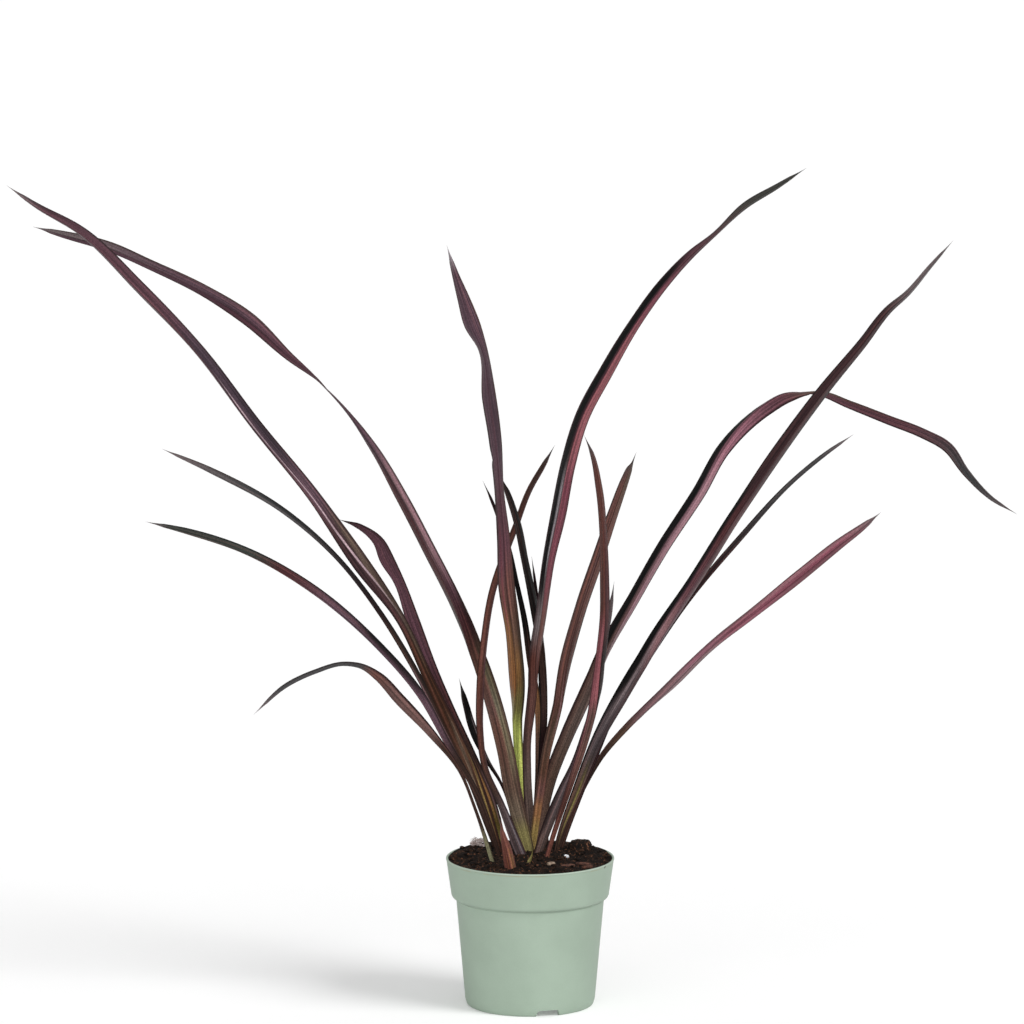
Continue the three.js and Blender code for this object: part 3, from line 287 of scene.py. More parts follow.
# How each leaf is coloured. "left" and "right" are the halves beside the keel, seen from outside
# with the tip up, and give a colour at shares of the length. A stripe gives its place across, from
# 1 at the left margin over 0 at the keel to -1 at the right, its half width, the shares that it
# runs between, its colour and its strength. Two places are those at its two ends. A nick in the
# edge gives its share, its side, its depth and its width in millimetres. A short side ends that
# many millimetres before the tip.
LOOKS = {
    "leaf_left_tall": {
        "slot": "leaf_bronze", "margin": "soot",
        "left": "0 umber, .3 soot, .42 umber, .52 maroon, .65 plum, .93 plum, 1 ash",
        "right": "0 soot, .05 brown, .14 brown, .19 peat, .27 peat, .34 garnet, .44 garnet, .5 grape, "
                 ".57 plumblack, .7 plumblack, .78 plum, .94 plum, 1 ash",
        # The taupe stripe over the right half from .27 to .46, and the thin blush stripes that carry it on
        # towards the keel, are a painted highlight.
        "stripes": [((-.7, -.33), .08, .33, .45, "blush", .85), ((-.33, -.2), .06, .45, .66, "blush", .9),
                    (-.08, .12, .36, .64, "garnet", .6), (-.8, .3, .27, .46, "taupe", .55),
                    ((-.6, -.8), .13, .06, .135, "straw", .7), ((-.3, -.65), .14, .09, .18, "taupe", .75)],
    },
    "leaf_left_high": {
        "slot": "leaf_pink", "margin": "umber",
        # The left half is painted darker than the right, partly as painted shade on the half that faces
        # away from the key light.
        "left": "0 khaki, .05 khaki, .09 umber, .28 umber, .34 maroon, .46 maroon, .52 grape, .6 plum, "
                ".8 grape, 1 ash",
        "right": "0 khaki, .04 khaki, .065 taupe, .1 bark, .16 bark, .19 stone, .23 bark, .29 maroon, "
                 ".33 plum, .38 dusk, .46 dusk, .52 grape, .7 plum, .85 grape, .96 grape, 1 ash",
        "stripes": [(-.6, .25, .33, .48, "pink", .7), (-.85, .2, .05, .14, "umber", .7),
                    (-.12, .14, .3, .5, "garnet", .7), (-.75, .3, .12, .25, "sage", .45),
                    (-.3, .3, .12, .27, "russet", .6)],
    },
    "leaf_left_arched": {
        "slot": "leaf_bronze", "margin": "soot",
        "left": "0 umber, .4 umber, .7 soot, 1 soot",
        "right": "0 olive, .06 olive, .12 moss, .2 umber, .3 umber, .45 maroon, .6 plum, .9 plum, 1 soot",
        "stripes": [(-.18, .14, .02, .16, "olive", .85), (-.45, .16, .14, .27, "ochre", .75),
                    (-.8, .16, .08, .24, "dusk", .6)],
    },
    "leaf_left_thin": {
        "slot": "leaf_dark", "margin": "ink",
        "left": "0 umber, .5 soot, .9 iron, 1 ash",
        "right": "0 umber, .2 umber, .4 umber, .5 soot, .8 iron, 1 ash",
        "stripes": [(-.3, .14, .22, .37, "dusk", .7), (-.8, .3, .3, .8, "ink", .6)],
    },
    "leaf_left_low": {
        "slot": "leaf_dark", "margin": "ink",
        "left": "0 umber, .3 soot, .7 plum, 1 iron",
        "right": "0 umber, .22 umber, .3 grape, .6 grape, .72 maroon, .8 lead, .95 lead, 1 ash",
        "stripes": [(-.85, .7, .37, .54, "ink", .95)],
    },
    "leaf_left_bent": {
        "slot": "leaf_bronze", "margin": "soot",
        "left": "0 sage, .1 olive, .16 umber, .6 umber, 1 iron",
        "right": "0 sage, .08 sage, .14 umber, .34 umber, .42 fawn, .56 fawn, .62 cocoa, .68 iron, "
                 ".9 iron, 1 ash",
        "stripes": [(-.95, .25, .3, .64, "soot", .7), (0, .12, .3, .64, "soot", .6)],
    },
    "leaf_left_spear": {
        "slot": "leaf_dark", "margin": "soot",
        # The ink of the left half is painted shade, for the half that faces away from the key light.
        "left": "0 umber, .4 ink, 1 ink",
        "right": "0 umber, .4 soot, .55 ink, .9 ink, 1 iron",
        "stripes": [(-.85, .2, .3, .8, "ash", .6)],
    },
    "leaf_centre_curved": {
        "slot": "leaf_bronze", "margin": "garnet",
        "left": "0 fawn, .2 umber, .5 soot, 1 soot",
        "right": "0 smoke, .12 smoke, .2 umber, .32 sorrel, .8 sorrel, .94 umber, 1 iron",
        "stripes": [(-.85, .1, .03, .14, "silver", .6), (-.05, .2, .14, .3, "ink", .7),
                    (-.4, .14, .02, .16, "umber", .5)],
    },
    "leaf_centre_tall": {
        "slot": "leaf_bronze", "margin": "umber",
        "left": "0 taupe, .08 khaki, .13 lime, .21 lime, .25 khaki, .29 amber, .37 tan, .43 cocoa, "
                ".5 mauve, .58 plum, .65 grape, .95 grape, 1 silver",
        "right": "0 taupe, .08 khaki, .13 lime, .21 lime, .26 olive, .31 ochre, .38 bark, .45 cocoa, "
                 ".53 mauve, .6 plum, .66 grape, .95 grape, 1 silver",
        "stripes": [(.05, .12, .22, .46, "umber", .5), (.5, .12, .38, .56, "wine", .5),
                    (-.85, .2, .22, .36, "moss", .7), (.8, .16, .22, .4, "amber", .6),
                    (.25, .08, .14, .25, "khaki", .5)],
        "nicks": [(.655, 1, .2, 4)],
    },
    "leaf_centre_dark": {
        "slot": "leaf_dark", "margin": "ink",
        "left": "0 umber, .3 soot, .45 umber, .56 umber, .66 ink, 1 ink",
        "right": "0 umber, .3 soot, .5 soot, .7 ink, 1 ink",
    },
    "leaf_centre_thin": {
        "slot": "leaf_dark", "margin": "ink",
        "left": "0 umber, .6 ink, 1 soot",
        "right": "0 umber, .2 umber, .3 bark, .46 tan, .54 umber, .62 ink, 1 soot",
    },
    "leaf_centre_spear": {
        "slot": "leaf_dark", "margin": "ink",
        "left": "0 umber, .4 ink, 1 soot",
        "right": "0 umber, .4 soot, 1 iron",
    },
    "leaf_right_high": {
        "slot": "leaf_pink", "margin": "garnet",
        "left": "0 stone, .1 stone, .2 cocoa, .26 russet, .31 ash, .37 ash, .43 dusk, .5 fawn, .56 plum, "
                ".8 plum, .93 lead, 1 lead",
        "right": "0 stone, .1 stone, .2 russet, .3 cocoa, .38 claret, .47 claret, .55 rose, .66 rose, "
                 ".75 claret, .83 plum, .93 lead, 1 lead",
        # The ink stripe over the left half is painted shade, for the half that faces away from the key
        # light.
        "stripes": [(.9, 1.05, .34, .8, "ink", 1.8), (.14, .2, .38, .5, "silver", .7),
                    (.9, .4, .12, .34, "soot", .7)],
    },
    "leaf_right_red": {
        "slot": "leaf_pink", "margin": "garnet",
        "left": "0 rust, .08 rust, .16 russet, .26 cocoa, .36 fawn, .43 rose, .54 rose, .62 russet, "
                ".9 russet, 1 iron",
        "right": "0 rust, .1 maroon, .3 soot, .5 ink, .6 maroon, .9 russet, 1 iron",
        "stripes": [(.85, .16, .25, .58, "rose", .6), (.35, .2, .1, .4, "umber", .6)],
    },
    "leaf_right_grey": {
        "slot": "leaf_dark", "margin": "soot",
        "left": "0 stone, .3 smoke, .4 violet, .75 violet, .9 smoke, 1 iron",
        "right": "0 umber, .2 soot, .36 umber, .6 umber, .9 iron, 1 ash",
        "stripes": [(.95, .4, .12, .92, "ink", .9), (.1, .25, .03, .3, "umber", .6)],
    },
    "leaf_right_split": {
        "slot": "leaf_bronze", "margin": "umber",
        "left": "0 straw, .07 straw, .12 tan, .17 cocoa, .22 brown, .32 bark, .42 cocoa, .7 cocoa, "
                ".9 cocoa, 1 iron",
        "right": "0 straw, .08 olive, .14 brown, .32 umber, .44 russet, .6 cocoa, .8 cocoa, .93 bark, "
                 "1 iron",
        "stripes": [(.14, .08, .32, .78, "dusk", .6), (.5, .1, .46, .84, "rust", .7),
                    (.32, .07, .3, .8, "umber", .7), (-.3, .08, .35, .85, "umber", .6),
                    (.72, .06, .3, .9, "maroon", .6)],
        "short_side": (1, 6),
    },
    "leaf_right_bent": {
        "slot": "leaf_pink", "margin": "soot",
        "left": "0 stone, .1 bark, .2 stone, .28 fawn, .38 dusk, .45 pink, .5 pink, .57 orchid, .66 mauve, "
                ".8 mauve, .93 iron, 1 ash",
        "right": "0 stone, .1 stone, .28 dusk, .36 pink, .5 pink, .57 orchid, .64 mauve, .7 bark, "
                 ".85 mauve, .94 iron, 1 ash",
        # The ink stripe over the left half is painted shade, for the half that faces away from the key
        # light.
        "stripes": [(.9, .95, .27, .62, "ink", 1.8), (-.95, .12, .35, .62, "soot", .6),
                    (.95, .5, .1, .27, "umber", .7), (-.8, .5, .08, .2, "umber", .6),
                    (.05, .12, .1, .3, "ash", .5)],
    },
    "leaf_right_tall": {
        "slot": "leaf_bronze", "margin": "ink",
        "left": "0 umber, .1 bark, .18 smoke, .28 smoke, .35 dusk, .43 plum, .52 maroon, .6 garnet, "
                ".86 garnet, .93 ash, 1 ash",
        "right": "0 umber, .12 soot, .35 plum, .5 maroon, .6 garnet, .86 garnet, .93 ash, 1 ash",
        "stripes": [(.95, .5, .24, .58, "ink", 1.4), (.02, .08, .33, .55, "dusk", .7),
                    (.35, .2, .05, .14, "olive", .9), (.15, .2, .14, .3, "soot", .6),
                    (.5, .12, .16, .34, "ash", .6)],
    },
    "leaf_right_thin": {
        "slot": "leaf_dark", "margin": "ink",
        "left": "0 umber, .2 soot, .6 soot, .9 iron, 1 ash",
        "right": "0 umber, .2 soot, .4 ink, .7 ink, .9 iron, 1 ash",
    },
    "leaf_right_pink": {
        "slot": "leaf_pink", "margin": "maroon",
        "left": "0 umber, .12 umber, .2 umber, .27 bark, .34 dusk, .42 dusk, .5 orchid, .62 shell, "
                ".9 shell, 1 ash",
        "right": "0 umber, .12 umber, .2 umber, .28 brown, .36 dusk, .5 dusk, .6 crimson, .82 claret, "
                 ".93 claret, 1 ash",
        "stripes": [(.1, .1, .3, .5, "blush", .5), (.15, .4, .58, .92, "crimson", .8)],
    },
    "old_leaf_stub": {
        "slot": "dry_leaf", "margin": "cocoa",
        "left": "0 rust, .7 rust, 1 cocoa",
        "right": "0 rust, .7 rust, 1 cocoa",
        "stripes": [(.5, .1, .1, .9, "russet", .7), (-.45, .16, 0, .5, "tan", .8),
                    (-.78, .1, 0, .4, "straw", .6), (.1, .07, 0, .4, "amber", .6)],
    },
    "green_sheath": {
        "slot": "green_sheath", "margin": "moss",
        "left": "0 olive, .5 khaki, 1 olive",
        "right": "0 olive, .5 olive, 1 olive",
    },
}


# Small helpers.

def linear(name):
    """The linear colour of a name in COLOURS, or of six hex digits."""
    code = COLOURS.get(name, name)
    channels = [int(code[i:i + 2], 16) / 255 for i in (0, 2, 4)]
    return [c / 12.92 if c <= 0.04045 else ((c + 0.055) / 1.055) ** 2.4 for c in channels] + [1.0]


def skin_tint(name):
    """A leaf colour without the sheen that the studio light adds to it."""
    seen = linear(name)
    return [max(0.003, (c - SHEEN["veil"]) / SHEEN["gain"]) for c in seen[:3]] + [1.0]


def smoothstep(value, low, high):
    """0 up to low, 1 from high, and smooth between them."""
    t = np.clip((value - low) / (high - low), 0, 1)
    return t * t * (3 - 2 * t)


def wave_noise(places, scale, seed):
    """Smooth noise from about -1 to 1 at points in millimetres, for a feature size in millimetres."""
    shift = Vector((seed * 17.3, seed * 5.1, seed * 9.7))
    return np.array([noise.noise(Vector(p) / scale + shift) for p in places])


def turned(points, degrees):
    """Points turned about the upright axis."""
    angle = math.radians(degrees)
    x, y, z = np.asarray(points, dtype=float).T
    return np.column_stack([x * math.cos(angle) - y * math.sin(angle),
                            x * math.sin(angle) + y * math.cos(angle), z])


def circle(sides):
    """Points round a circle of radius 1 at height 0."""
    angles = 2 * np.pi * np.arange(sides) / sides
    return np.column_stack([np.cos(angles), np.sin(angles), np.zeros(sides)])


def mesh_object(name, points, faces, sharp_from=SHARP_FROM["soil"]):
    """An object from points in millimetres, shaded smooth except over sharp edges."""
    mesh = bpy.data.meshes.new(name)
    mesh.from_pydata([[c * MM for c in p] for p in points], [], faces)
    mesh.polygons.foreach_set("use_smooth", [True] * len(mesh.polygons))
    mesh.set_sharp_from_angle(angle=math.radians(sharp_from))
    mesh.update()
    piece = bpy.data.objects.new(name, mesh)
    bpy.context.collection.objects.link(piece)
    return piece


def skin(ring_count, size, start, end):
    """Faces between rings of one size, closed by fans round a start and an end point."""
    faces = []
    for r in range(ring_count - 1):
        for i in range(size):
            j = (i + 1) % size
            a = r * size
            faces.append((a + i, a + j, a + size + j, a + size + i))
    last = (ring_count - 1) * size
    for i in range(size):
        j = (i + 1) % size
        faces.append((start, j, i))
        faces.append((end, last + i, last + j))
    return faces


def finish_piece(piece, material, node):
    """Gives a piece its material, puts it under the root body and hides the node that it stands for."""
    piece.data.materials.append(material)
    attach(piece, "root")
    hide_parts(node)


class Shading:
    """The node tree of a new material, with short ways to add its nodes."""

    def __init__(self, name):
        self.material = bpy.data.materials.new(name)
        self.material.use_nodes = True
        self.tree = self.material.node_tree
        self.shader = self.tree.nodes["Principled BSDF"]

    def node(self, kind, inputs=(), **settings):
        node = self.tree.nodes.new("ShaderNode" + kind)
        for key, value in settings.items():
            setattr(node, key, value)
        for key, value in dict(inputs).items():
            self.put(node.inputs[key], value)
        return node

    def put(self, socket, value):
        if isinstance(value, bpy.types.NodeSocket):
            self.tree.links.new(value, socket)
        else:
            socket.default_value = value

    def math(self, operation, a, b=0.0):
        return self.node("Math", {0: a, 1: b}, operation=operation).outputs[0]

    def window(self, value, low, high, out_low=0.0, out_high=1.0):
        """A smooth step from out_low at low to out_high at high."""
        node = self.node("MapRange", {0: value, 1: low, 2: high, 3: out_low, 4: out_high})
        node.interpolation_type = "SMOOTHSTEP"
        return node.outputs[0]

    def spread(self, noise_value, low, high):
        """Noise as a smooth range from low to high."""
        return self.window(noise_value, *NOISE_RANGE, low, high)

    def band(self, value, middle, half):
        """1 at the middle of a band, fading to 0 at half away from it."""
        away = self.math("ABSOLUTE", self.math("SUBTRACT", value, middle))
        return self.window(away, half, half * 0.35)

    def span(self, value, low, high, fade):
        """1 between low and high, with soft ends."""
        rising = self.window(value, low - fade, low + fade)
        falling = self.window(value, high + fade, high - fade)
        return self.math("MULTIPLY", rising, falling)

    def ramp(self, value, text):
        """Leaf colours along a value, from text such as "0 umber, .4 soot"."""
        stops = [stop.split() for stop in text.split(", ")]
        node = self.node("ValToRGB", {0: value})
        ramp = node.color_ramp
        ramp.interpolation = "EASE"
        while len(ramp.elements) < len(stops):
            ramp.elements.new(0.5)
        for element, (place, name) in zip(ramp.elements, stops):
            element.position = float(place)
            element.color = skin_tint(name)
        return node.outputs[0]

    def mix(self, factor, a, b):
        """Colour a at factor 0, and colour b at 1."""
        node = self.node("Mix", data_type="RGBA")
        for index, value in ((0, factor), (6, a), (7, b)):
            self.put(node.inputs[index], value)
        return node.outputs[2]

    def scaled(self, colour, amount):
        """A colour made lighter or darker by a grey amount around 1."""
        node = self.node("VectorMath", {0: colour}, operation="SCALE")
        self.put(node.inputs["Scale"], amount)
        return node.outputs[0]

    def noise(self, place, scale, detail=3.0, roughness=0.55):
        inputs = {"Vector": place, "Scale": scale, "Detail": detail, "Roughness": roughness}
        return self.node("TexNoise", inputs).outputs[0]

    def bump(self, height, distance, strength=1.0, normal=None):
        node = self.node("Bump", {"Height": height, "Distance": distance, "Strength": strength})
        if normal is not None:
            self.put(node.inputs["Normal"], normal)
        return node.outputs[0]

    def place(self):
        """Where a point is on the object, in metres."""
        return self.node("TexCoord").outputs["Object"]

    def finish(self, colour, roughness, specular, normal):
        """Gives the shader what the surface shows, and returns the material."""
        self.put(self.shader.inputs["Base Color"], colour)
        self.put(self.shader.inputs["Roughness"], roughness)
        self.put(self.shader.inputs["Normal"], normal)
        self.shader.inputs["Specular IOR Level"].default_value = specular
        return self.material


# The leaves.

class LeafCurve:
    """The smooth curve through a leaf's places, with its width, fold and turn along it."""

    def __init__(self, rows):
        self.places = np.array(rows, dtype=float)
        steps = np.linalg.norm(np.diff(self.places[:, :3], axis=0), axis=1)
        self.reach = np.concatenate([[0], np.cumsum(steps)])
        self.length = self.reach[-1]
        rates = np.diff(self.places, axis=0) / steps[:, None]
        inner = rates[:-1] * steps[1:, None] + rates[1:] * steps[:-1, None]
        inner /= (steps[1:] + steps[:-1])[:, None]
        self.slopes = np.vstack([rates[:1], inner, rates[-1:]])

    def at(self, distance):
        """x, y, z, half width, fold and turn at an array of distances."""
        i = np.clip(np.searchsorted(self.reach, distance) - 1, 0, len(self.reach) - 2)
        span = (self.reach[i + 1] - self.reach[i])[:, None]
        t = (distance[:, None] - self.reach[i][:, None]) / span
        start = self.places[i]
        bend = t * t * (3 - 2 * t)
        out = self.slopes[i] * span * t * (1 - t) ** 2
        into = self.slopes[i + 1] * span * t * t * (1 - t)
        return start + (self.places[i + 1] - start) * bend + out - into

    def frames(self, distance, taper):
        """Corner, opening and across directions, half width and half the fold at each distance."""
        here = self.at(distance)
        along = self.at(distance + 0.5)[:, :3] - self.at(distance - 0.5)[:, :3]
        along /= np.linalg.norm(along, axis=1)[:, None]
        front = np.tile([0.0, -1.0, 0.0], (len(distance), 1))
        front -= along * (front * along).sum(axis=1)[:, None]
        front /= np.linalg.norm(front, axis=1)[:, None]
        right = np.cross(along, front)
        fold = np.radians(here[:, 4])
        turn = np.radians(here[:, 5])
        opening = front * np.cos(turn)[:, None] + right * np.sin(turn)[:, None]
        across = np.cross(along, opening)
        half = np.maximum(here[:, 3], LEAF["least_half"]) * taper
        arms = np.array([turn - fold / 2, turn + fold / 2])
        keel = np.zeros_like(arms[:1])
        sideways = np.vstack([keel, np.sin(arms)])
        forward = np.vstack([keel, np.cos(arms)])
        aside = half * (sideways.max(axis=0) + sideways.min(axis=0)) / 2
        ahead = half * (forward.max(axis=0) + forward.min(axis=0)) / 2
        corner = here[:, :3] - right * aside[:, None] - front * ahead[:, None]
        return corner, opening, across, half, fold / 2


def blade_columns():
    """Shares from the keel to the margin, closer together at both."""
    steps = np.linspace(0, 1, LEAF["columns"] + 1)[1:]
    turn = math.pi * LEAF["crowding"]
    return (1 - np.cos(steps * turn)) / (1 - math.cos(turn))


def blade_section(half, angle, edge_scale, wave):
    """One section as a ring of (out, side) points in the fold's own plane.

    The ring runs from the keel down the right outer face, back along the right inner face to the
    groove, and the same on the left in reverse.
    """
    sine, cosine = math.sin(angle), math.cos(angle)
    shares = blade_columns()
    slim = min(1.0, half / LEAF["slim_half"])
    margin = LEAF["margin"] * slim
    keel = LEAF["keel"] * slim
    closed = (LEAF["blade"] * cosine + LEAF["slit"]) * slim
    outer, inner = {}, {}
    for side in (-1, 1):
        reach = half * edge_scale[side]
        edge = np.array([reach * cosine, max(reach * sine, closed)])
        rim = edge + margin * np.array([sine, -cosine])
        groove = np.array([min(keel / sine, LEAF["keel_share"] * rim[0]), 0.0])
        rounding = LEAF["rounding"]
        out = np.sqrt(shares ** 2 + rounding ** 2) - math.sqrt(1 + rounding ** 2) + 1
        bulge = LEAF["arch"] * half * np.sin(math.pi * shares) + wave[side] * shares ** 2
        away = np.outer(bulge, [-sine, cosine])
        outer[side] = np.column_stack([out * edge[0], shares * edge[1]]) + away
        inner[side] = groove + np.outer(shares, rim - groove) + away * shares[:, None] ** 0.5
        inner[side][:, 1] = np.maximum(inner[side][:, 1], LEAF["least_opening"])
    keel_point = np.array([LEAF["rounding"] * half * cosine, 0.0])
    flip = np.array([1.0, -1.0])
    ring = [keel_point[None], outer[-1] * flip, (inner[-1] * flip)[::-1], groove[None],
            inner[1], outer[1][::-1]]
    return np.vstack(ring)


def ring_places():
    """How far across each point of a section lies, from -1 to 1, and whether it is inside."""
    shares = blade_columns()
    across = np.concatenate([[0], -shares, -shares[::-1], [0], shares, shares[::-1]])
    count = len(shares)
    inside = np.array([0] + [0] * count + [1] * count + [1] + [1] * count + [0] * count)
    return across, inside


def leaf_stations(length):
    """Distances of the sections, closer together near the tip."""
    body = length - LEAF["tip_length"]
    count = max(8, round(body / LEAF["station"]))
    tip = np.linspace(0, 1, LEAF["tip_stations"] + 1)[1:]
    tip = body + (LEAF["tip_length"] - LEAF["tip_gap"]) * (1 - (1 - tip) ** 1.5)
    return np.concatenate([np.linspace(0, body, count, endpoint=False), [body], tip])


def edge_factor(look, side, distance, length):
    """How much of its width one half keeps at a distance, for a nick or a side that ends early."""
    factor = 1.0
    for share, nick_side, depth, width in look.get("nicks", ()):
        if nick_side == side:
            gap = (distance - share * length) / width
            steepness = LEAF["nick_below"] if gap < 0 else LEAF["nick_above"]
            factor *= 1 - depth * math.exp(-gap * gap) * steepness
    if "short_side" in look and look["short_side"][0] == side:
        left = length - look["short_side"][1] - distance
        factor *= min(1.0, max(LEAF["short_keeps"], left / LEAF["short_fade"]))
    return factor


def leaf_piece(name, seed):
    """One leaf: rings of sections along its curve, closed at both ends."""
    look = LOOKS[name]
    curve = LeafCurve(LEAVES[name])
    length = curve.length
    stations = leaf_stations(length)
    taper = np.clip((length - stations) / LEAF["tip_length"], 0.0, 1.0)
    taper = LEAF["tip_share"] + (1 - LEAF["tip_share"]) * taper
    corner, opening, across, half, angle = curve.frames(stations, taper)
    along = np.column_stack([stations, np.zeros_like(stations), np.zeros_like(stations)])
    waves = {side: LEAF["wave"] * wave_noise(along, LEAF["wave_length"], seed + side * 0.31)
             for side in (-1, 1)}
    points = []
    for i, distance in enumerate(stations):
        scale = {side: edge_factor(look, side, distance, length) for side in (-1, 1)}
        slim = min(1.0, half[i] / LEAF["slim_half"])
        wave = {side: waves[side][i] * slim for side in (-1, 1)}
        flat = blade_section(half[i], angle[i], scale, wave)
        points.append(corner[i] + np.outer(flat[:, 0], opening[i]) + np.outer(flat[:, 1], across[i]))
    size = len(points[0])
    rings = np.vstack(points)
    keel, groove = points[0][0], points[0][size // 2]
    ends = [(keel + groove) / 2, LEAVES[name][-1][:3]]
    faces = skin(len(stations), size, len(rings), len(rings) + 1)
    piece = mesh_object(name + "_blade", np.vstack([rings, ends]), faces, SHARP_FROM["leaf"])
    leaf_map(piece.data, stations, size, length)
    finish_piece(piece, leaf_material(name, look, length, seed), name)


def leaf_map(mesh, stations, size, length):
    """A map with the place across (plus 2 on the inner face) and the distance along in metres."""
    place, inside = ring_places()
    u = np.concatenate([np.tile((place + 1) / 2 + 2 * inside, len(stations)), [0.5, 0.5]])
    v = np.concatenate([np.repeat(stations, size), [0, length]]) * MM
    layer = mesh.uv_layers.new(name="leaf")
    corners = np.empty(len(mesh.loops), dtype=np.int32)
    mesh.loops.foreach_get("vertex_index", corners)
    layer.data.foreach_set("uv", np.column_stack([u[corners], v[corners]]).ravel())


def leaf_axes(s, length):
    """Across, share of the length, metres along, and 1 on the inner face."""
    split = s.node("SeparateXYZ", {0: s.node("UVMap", uv_map="leaf").outputs[0]})
    inner = s.math("GREATER_THAN", split.outputs[0], 1.5)
    u = s.math("SUBTRACT", split.outputs[0], s.math("MULTIPLY", inner, 2.0))
    across = s.math("SUBTRACT", s.math("MULTIPLY", u, 2.0), 1.0)
    metres = split.outputs[1]
    return across, s.math("DIVIDE", metres, length * MM), metres, inner


def leaf_streaks(s, axes, seed, columns, per_metre, shift, detail):
    """Noise that follows the leaf: far longer than it is wide, and another on the inner face."""
    across, _, metres, inner = axes
    vector = s.node("CombineXYZ", {
        0: s.math("MULTIPLY", across, columns),
        1: s.math("MULTIPLY", metres, per_metre),
        2: s.math("ADD", s.math("MULTIPLY", inner, 3.7), seed * 1.37 + shift),
    }).outputs[0]
    return s.noise(vector, 1.0, detail)


def with_stripe(s, colour, stripe, wander, share, fine):
    """A colour with one stripe over it, broken up by the fine streaks."""
    place, half, low, high, tint, strength = stripe
    if isinstance(place, tuple):
        ends = {0: share, 1: low, 2: high, 3: place[0], 4: place[1]}
        place = s.node("MapRange", ends).outputs[0]
    amount = s.math("MULTIPLY", s.band(wander, place, half), s.span(share, low, high, 0.03))
    amount = s.math("MULTIPLY", amount, s.window(fine, 0.25, 0.6, 0.45 * strength, strength))
    return s.mix(amount, colour, skin_tint(tint))


def leaf_colour(s, look, axes, fine, middle, broad):
    """The halves' colours, with accents, stripes, margins and the keel over them."""
    across, share = axes[:2]
    right, left = (s.ramp(share, look[half]) for half in ("right", "left"))
    colour = s.mix(s.window(across, -0.07, 0.07), right, left)
    accent = s.window(middle, 0.5, 0.68, 0.0, SKIN["accent_strength"])
    colour = s.mix(accent, colour, skin_tint(SKIN["accent"]))
    wander = s.math("ADD", across, s.spread(broad, -0.06, 0.06))
    for stripe in look.get("stripes", ()):
        colour = with_stripe(s, colour, stripe, wander, share, fine)
    edge = s.math("ABSOLUTE", across)
    # The dark margins are partly each leaf's own edge colour and partly painted shade along the folded
    # edges.
    margin = s.window(edge, 0.74, 0.93, 0.0, SKIN["margin_strength"])
    colour = s.mix(margin, colour, skin_tint(look["margin"]))
    keel = s.window(edge, 0.12, 0.03, 0.0, SKIN["keel_strength"])
    return s.mix(keel, colour, skin_tint(SKIN["keel"]))


def leaf_material(name, look, length, seed):
    s = Shading(name + "_skin")
    axes = leaf_axes(s, length)
    fine, middle, broad = (leaf_streaks(s, axes, seed, *streak) for streak in SKIN["streaks"])
    colour = leaf_colour(s, look, axes, fine, middle, broad)

    # Streaks of three widths and a pepper of tiny spots change how light the skin is.
    pepper = s.noise(s.place(), 1100.0, 2.0, 0.7)
    light = s.spread(fine, 0.66, 1.36)
    for pattern, low, high in ((middle, 0.6, 1.4), (broad, 0.88, 1.12), (pepper, 0.72, 1.32)):
        light = s.math("MULTIPLY", light, s.spread(pattern, low, high))

    # Veins run lengthwise, a little raised.
    veins = s.math("SINE", s.math("MULTIPLY", axes[0], SKIN["veins"]))
    height = s.math("ADD", s.math("MULTIPLY", veins, 0.35), s.math("MULTIPLY", fine, 1.6))
    normal = s.bump(pepper, 0.00010, 0.4, s.bump(height, 0.00012, 0.7))
    return s.finish(s.scaled(colour, light), s.spread(fine, 0.38, 0.52), SKIN["specular"], normal)


# The pot.

def arc_corner(before, corner, after, radius):
    """Points that round one corner of an outline."""
    before, corner, after = (np.array(p, dtype=float) for p in (before, corner, after))
    into = before - corner
    out = after - corner
    reach = min(radius, 0.45 * np.linalg.norm(into), 0.45 * np.linalg.norm(out))
    start = corner + into / np.linalg.norm(into) * reach
    end = corner + out / np.linalg.norm(out) * reach
    t = np.linspace(0, 1, POT["corner_steps"])[:, None]
    return (1 - t) ** 2 * start + 2 * t * (1 - t) * corner + t ** 2 * end


def pot_outline():
    """(radius, height, corner radius) up the outside, over the lip and down the inside."""
    top, lip = POT["height"], POT["lip_height"]
    band_low = top - POT["band_height"]
    body_top = band_low - POT["step_height"]
    inner, outer, channel = POT["channel_inner"], POT["channel_outer"], POT["channel_height"]
    floor = channel + POT["floor"]
    rim, band = POT["rim_radius"], POT["band_low_radius"]
    body, low = POT["body_top_radius"], POT["body_low_radius"]
    wall, edge, draft = POT["wall"], POT["edge"], POT["draft"]
    return [
        (0, 0, 0), (inner, 0, 0.5), (inner + draft, channel, 0.5), (outer - draft, channel, 0.5),
        (outer, 0, 0.4), (POT["foot_radius"] + 0.8, 0, 1.6), (low, channel - 0.6, 2.0),
        (body - 0.05, body_top - 0.6, 0.2), (body - 0.4, body_top - 0.2, 0.2),
        (body + 0.25, body_top + 0.1, 0.2), (band - 0.45, band_low - 0.6, 0.7),
        (band + 0.15, band_low + 0.8, 0.7), (rim - 0.35, top - lip - 0.5, 0.4),
        (rim - 0.42, top - lip - 0.1, 0.2), (rim + 0.02, top - lip + 0.3, 0.4),
        (rim + 0.02, top, 0.9), (rim - wall, top, 0.5), (rim - wall - 0.4, top - edge, 0.5),
        (band - wall, band_low + wall / 2, 1.0), (body - wall, body_top + edge, 1.0),
        (low - wall, floor + draft, 1.0), (low - wall - draft, floor, 0.8),
        (inner + edge + draft, floor, 0.5), (inner + edge, POT["floor"], 0.5), (0, POT["floor"], 0),
    ]


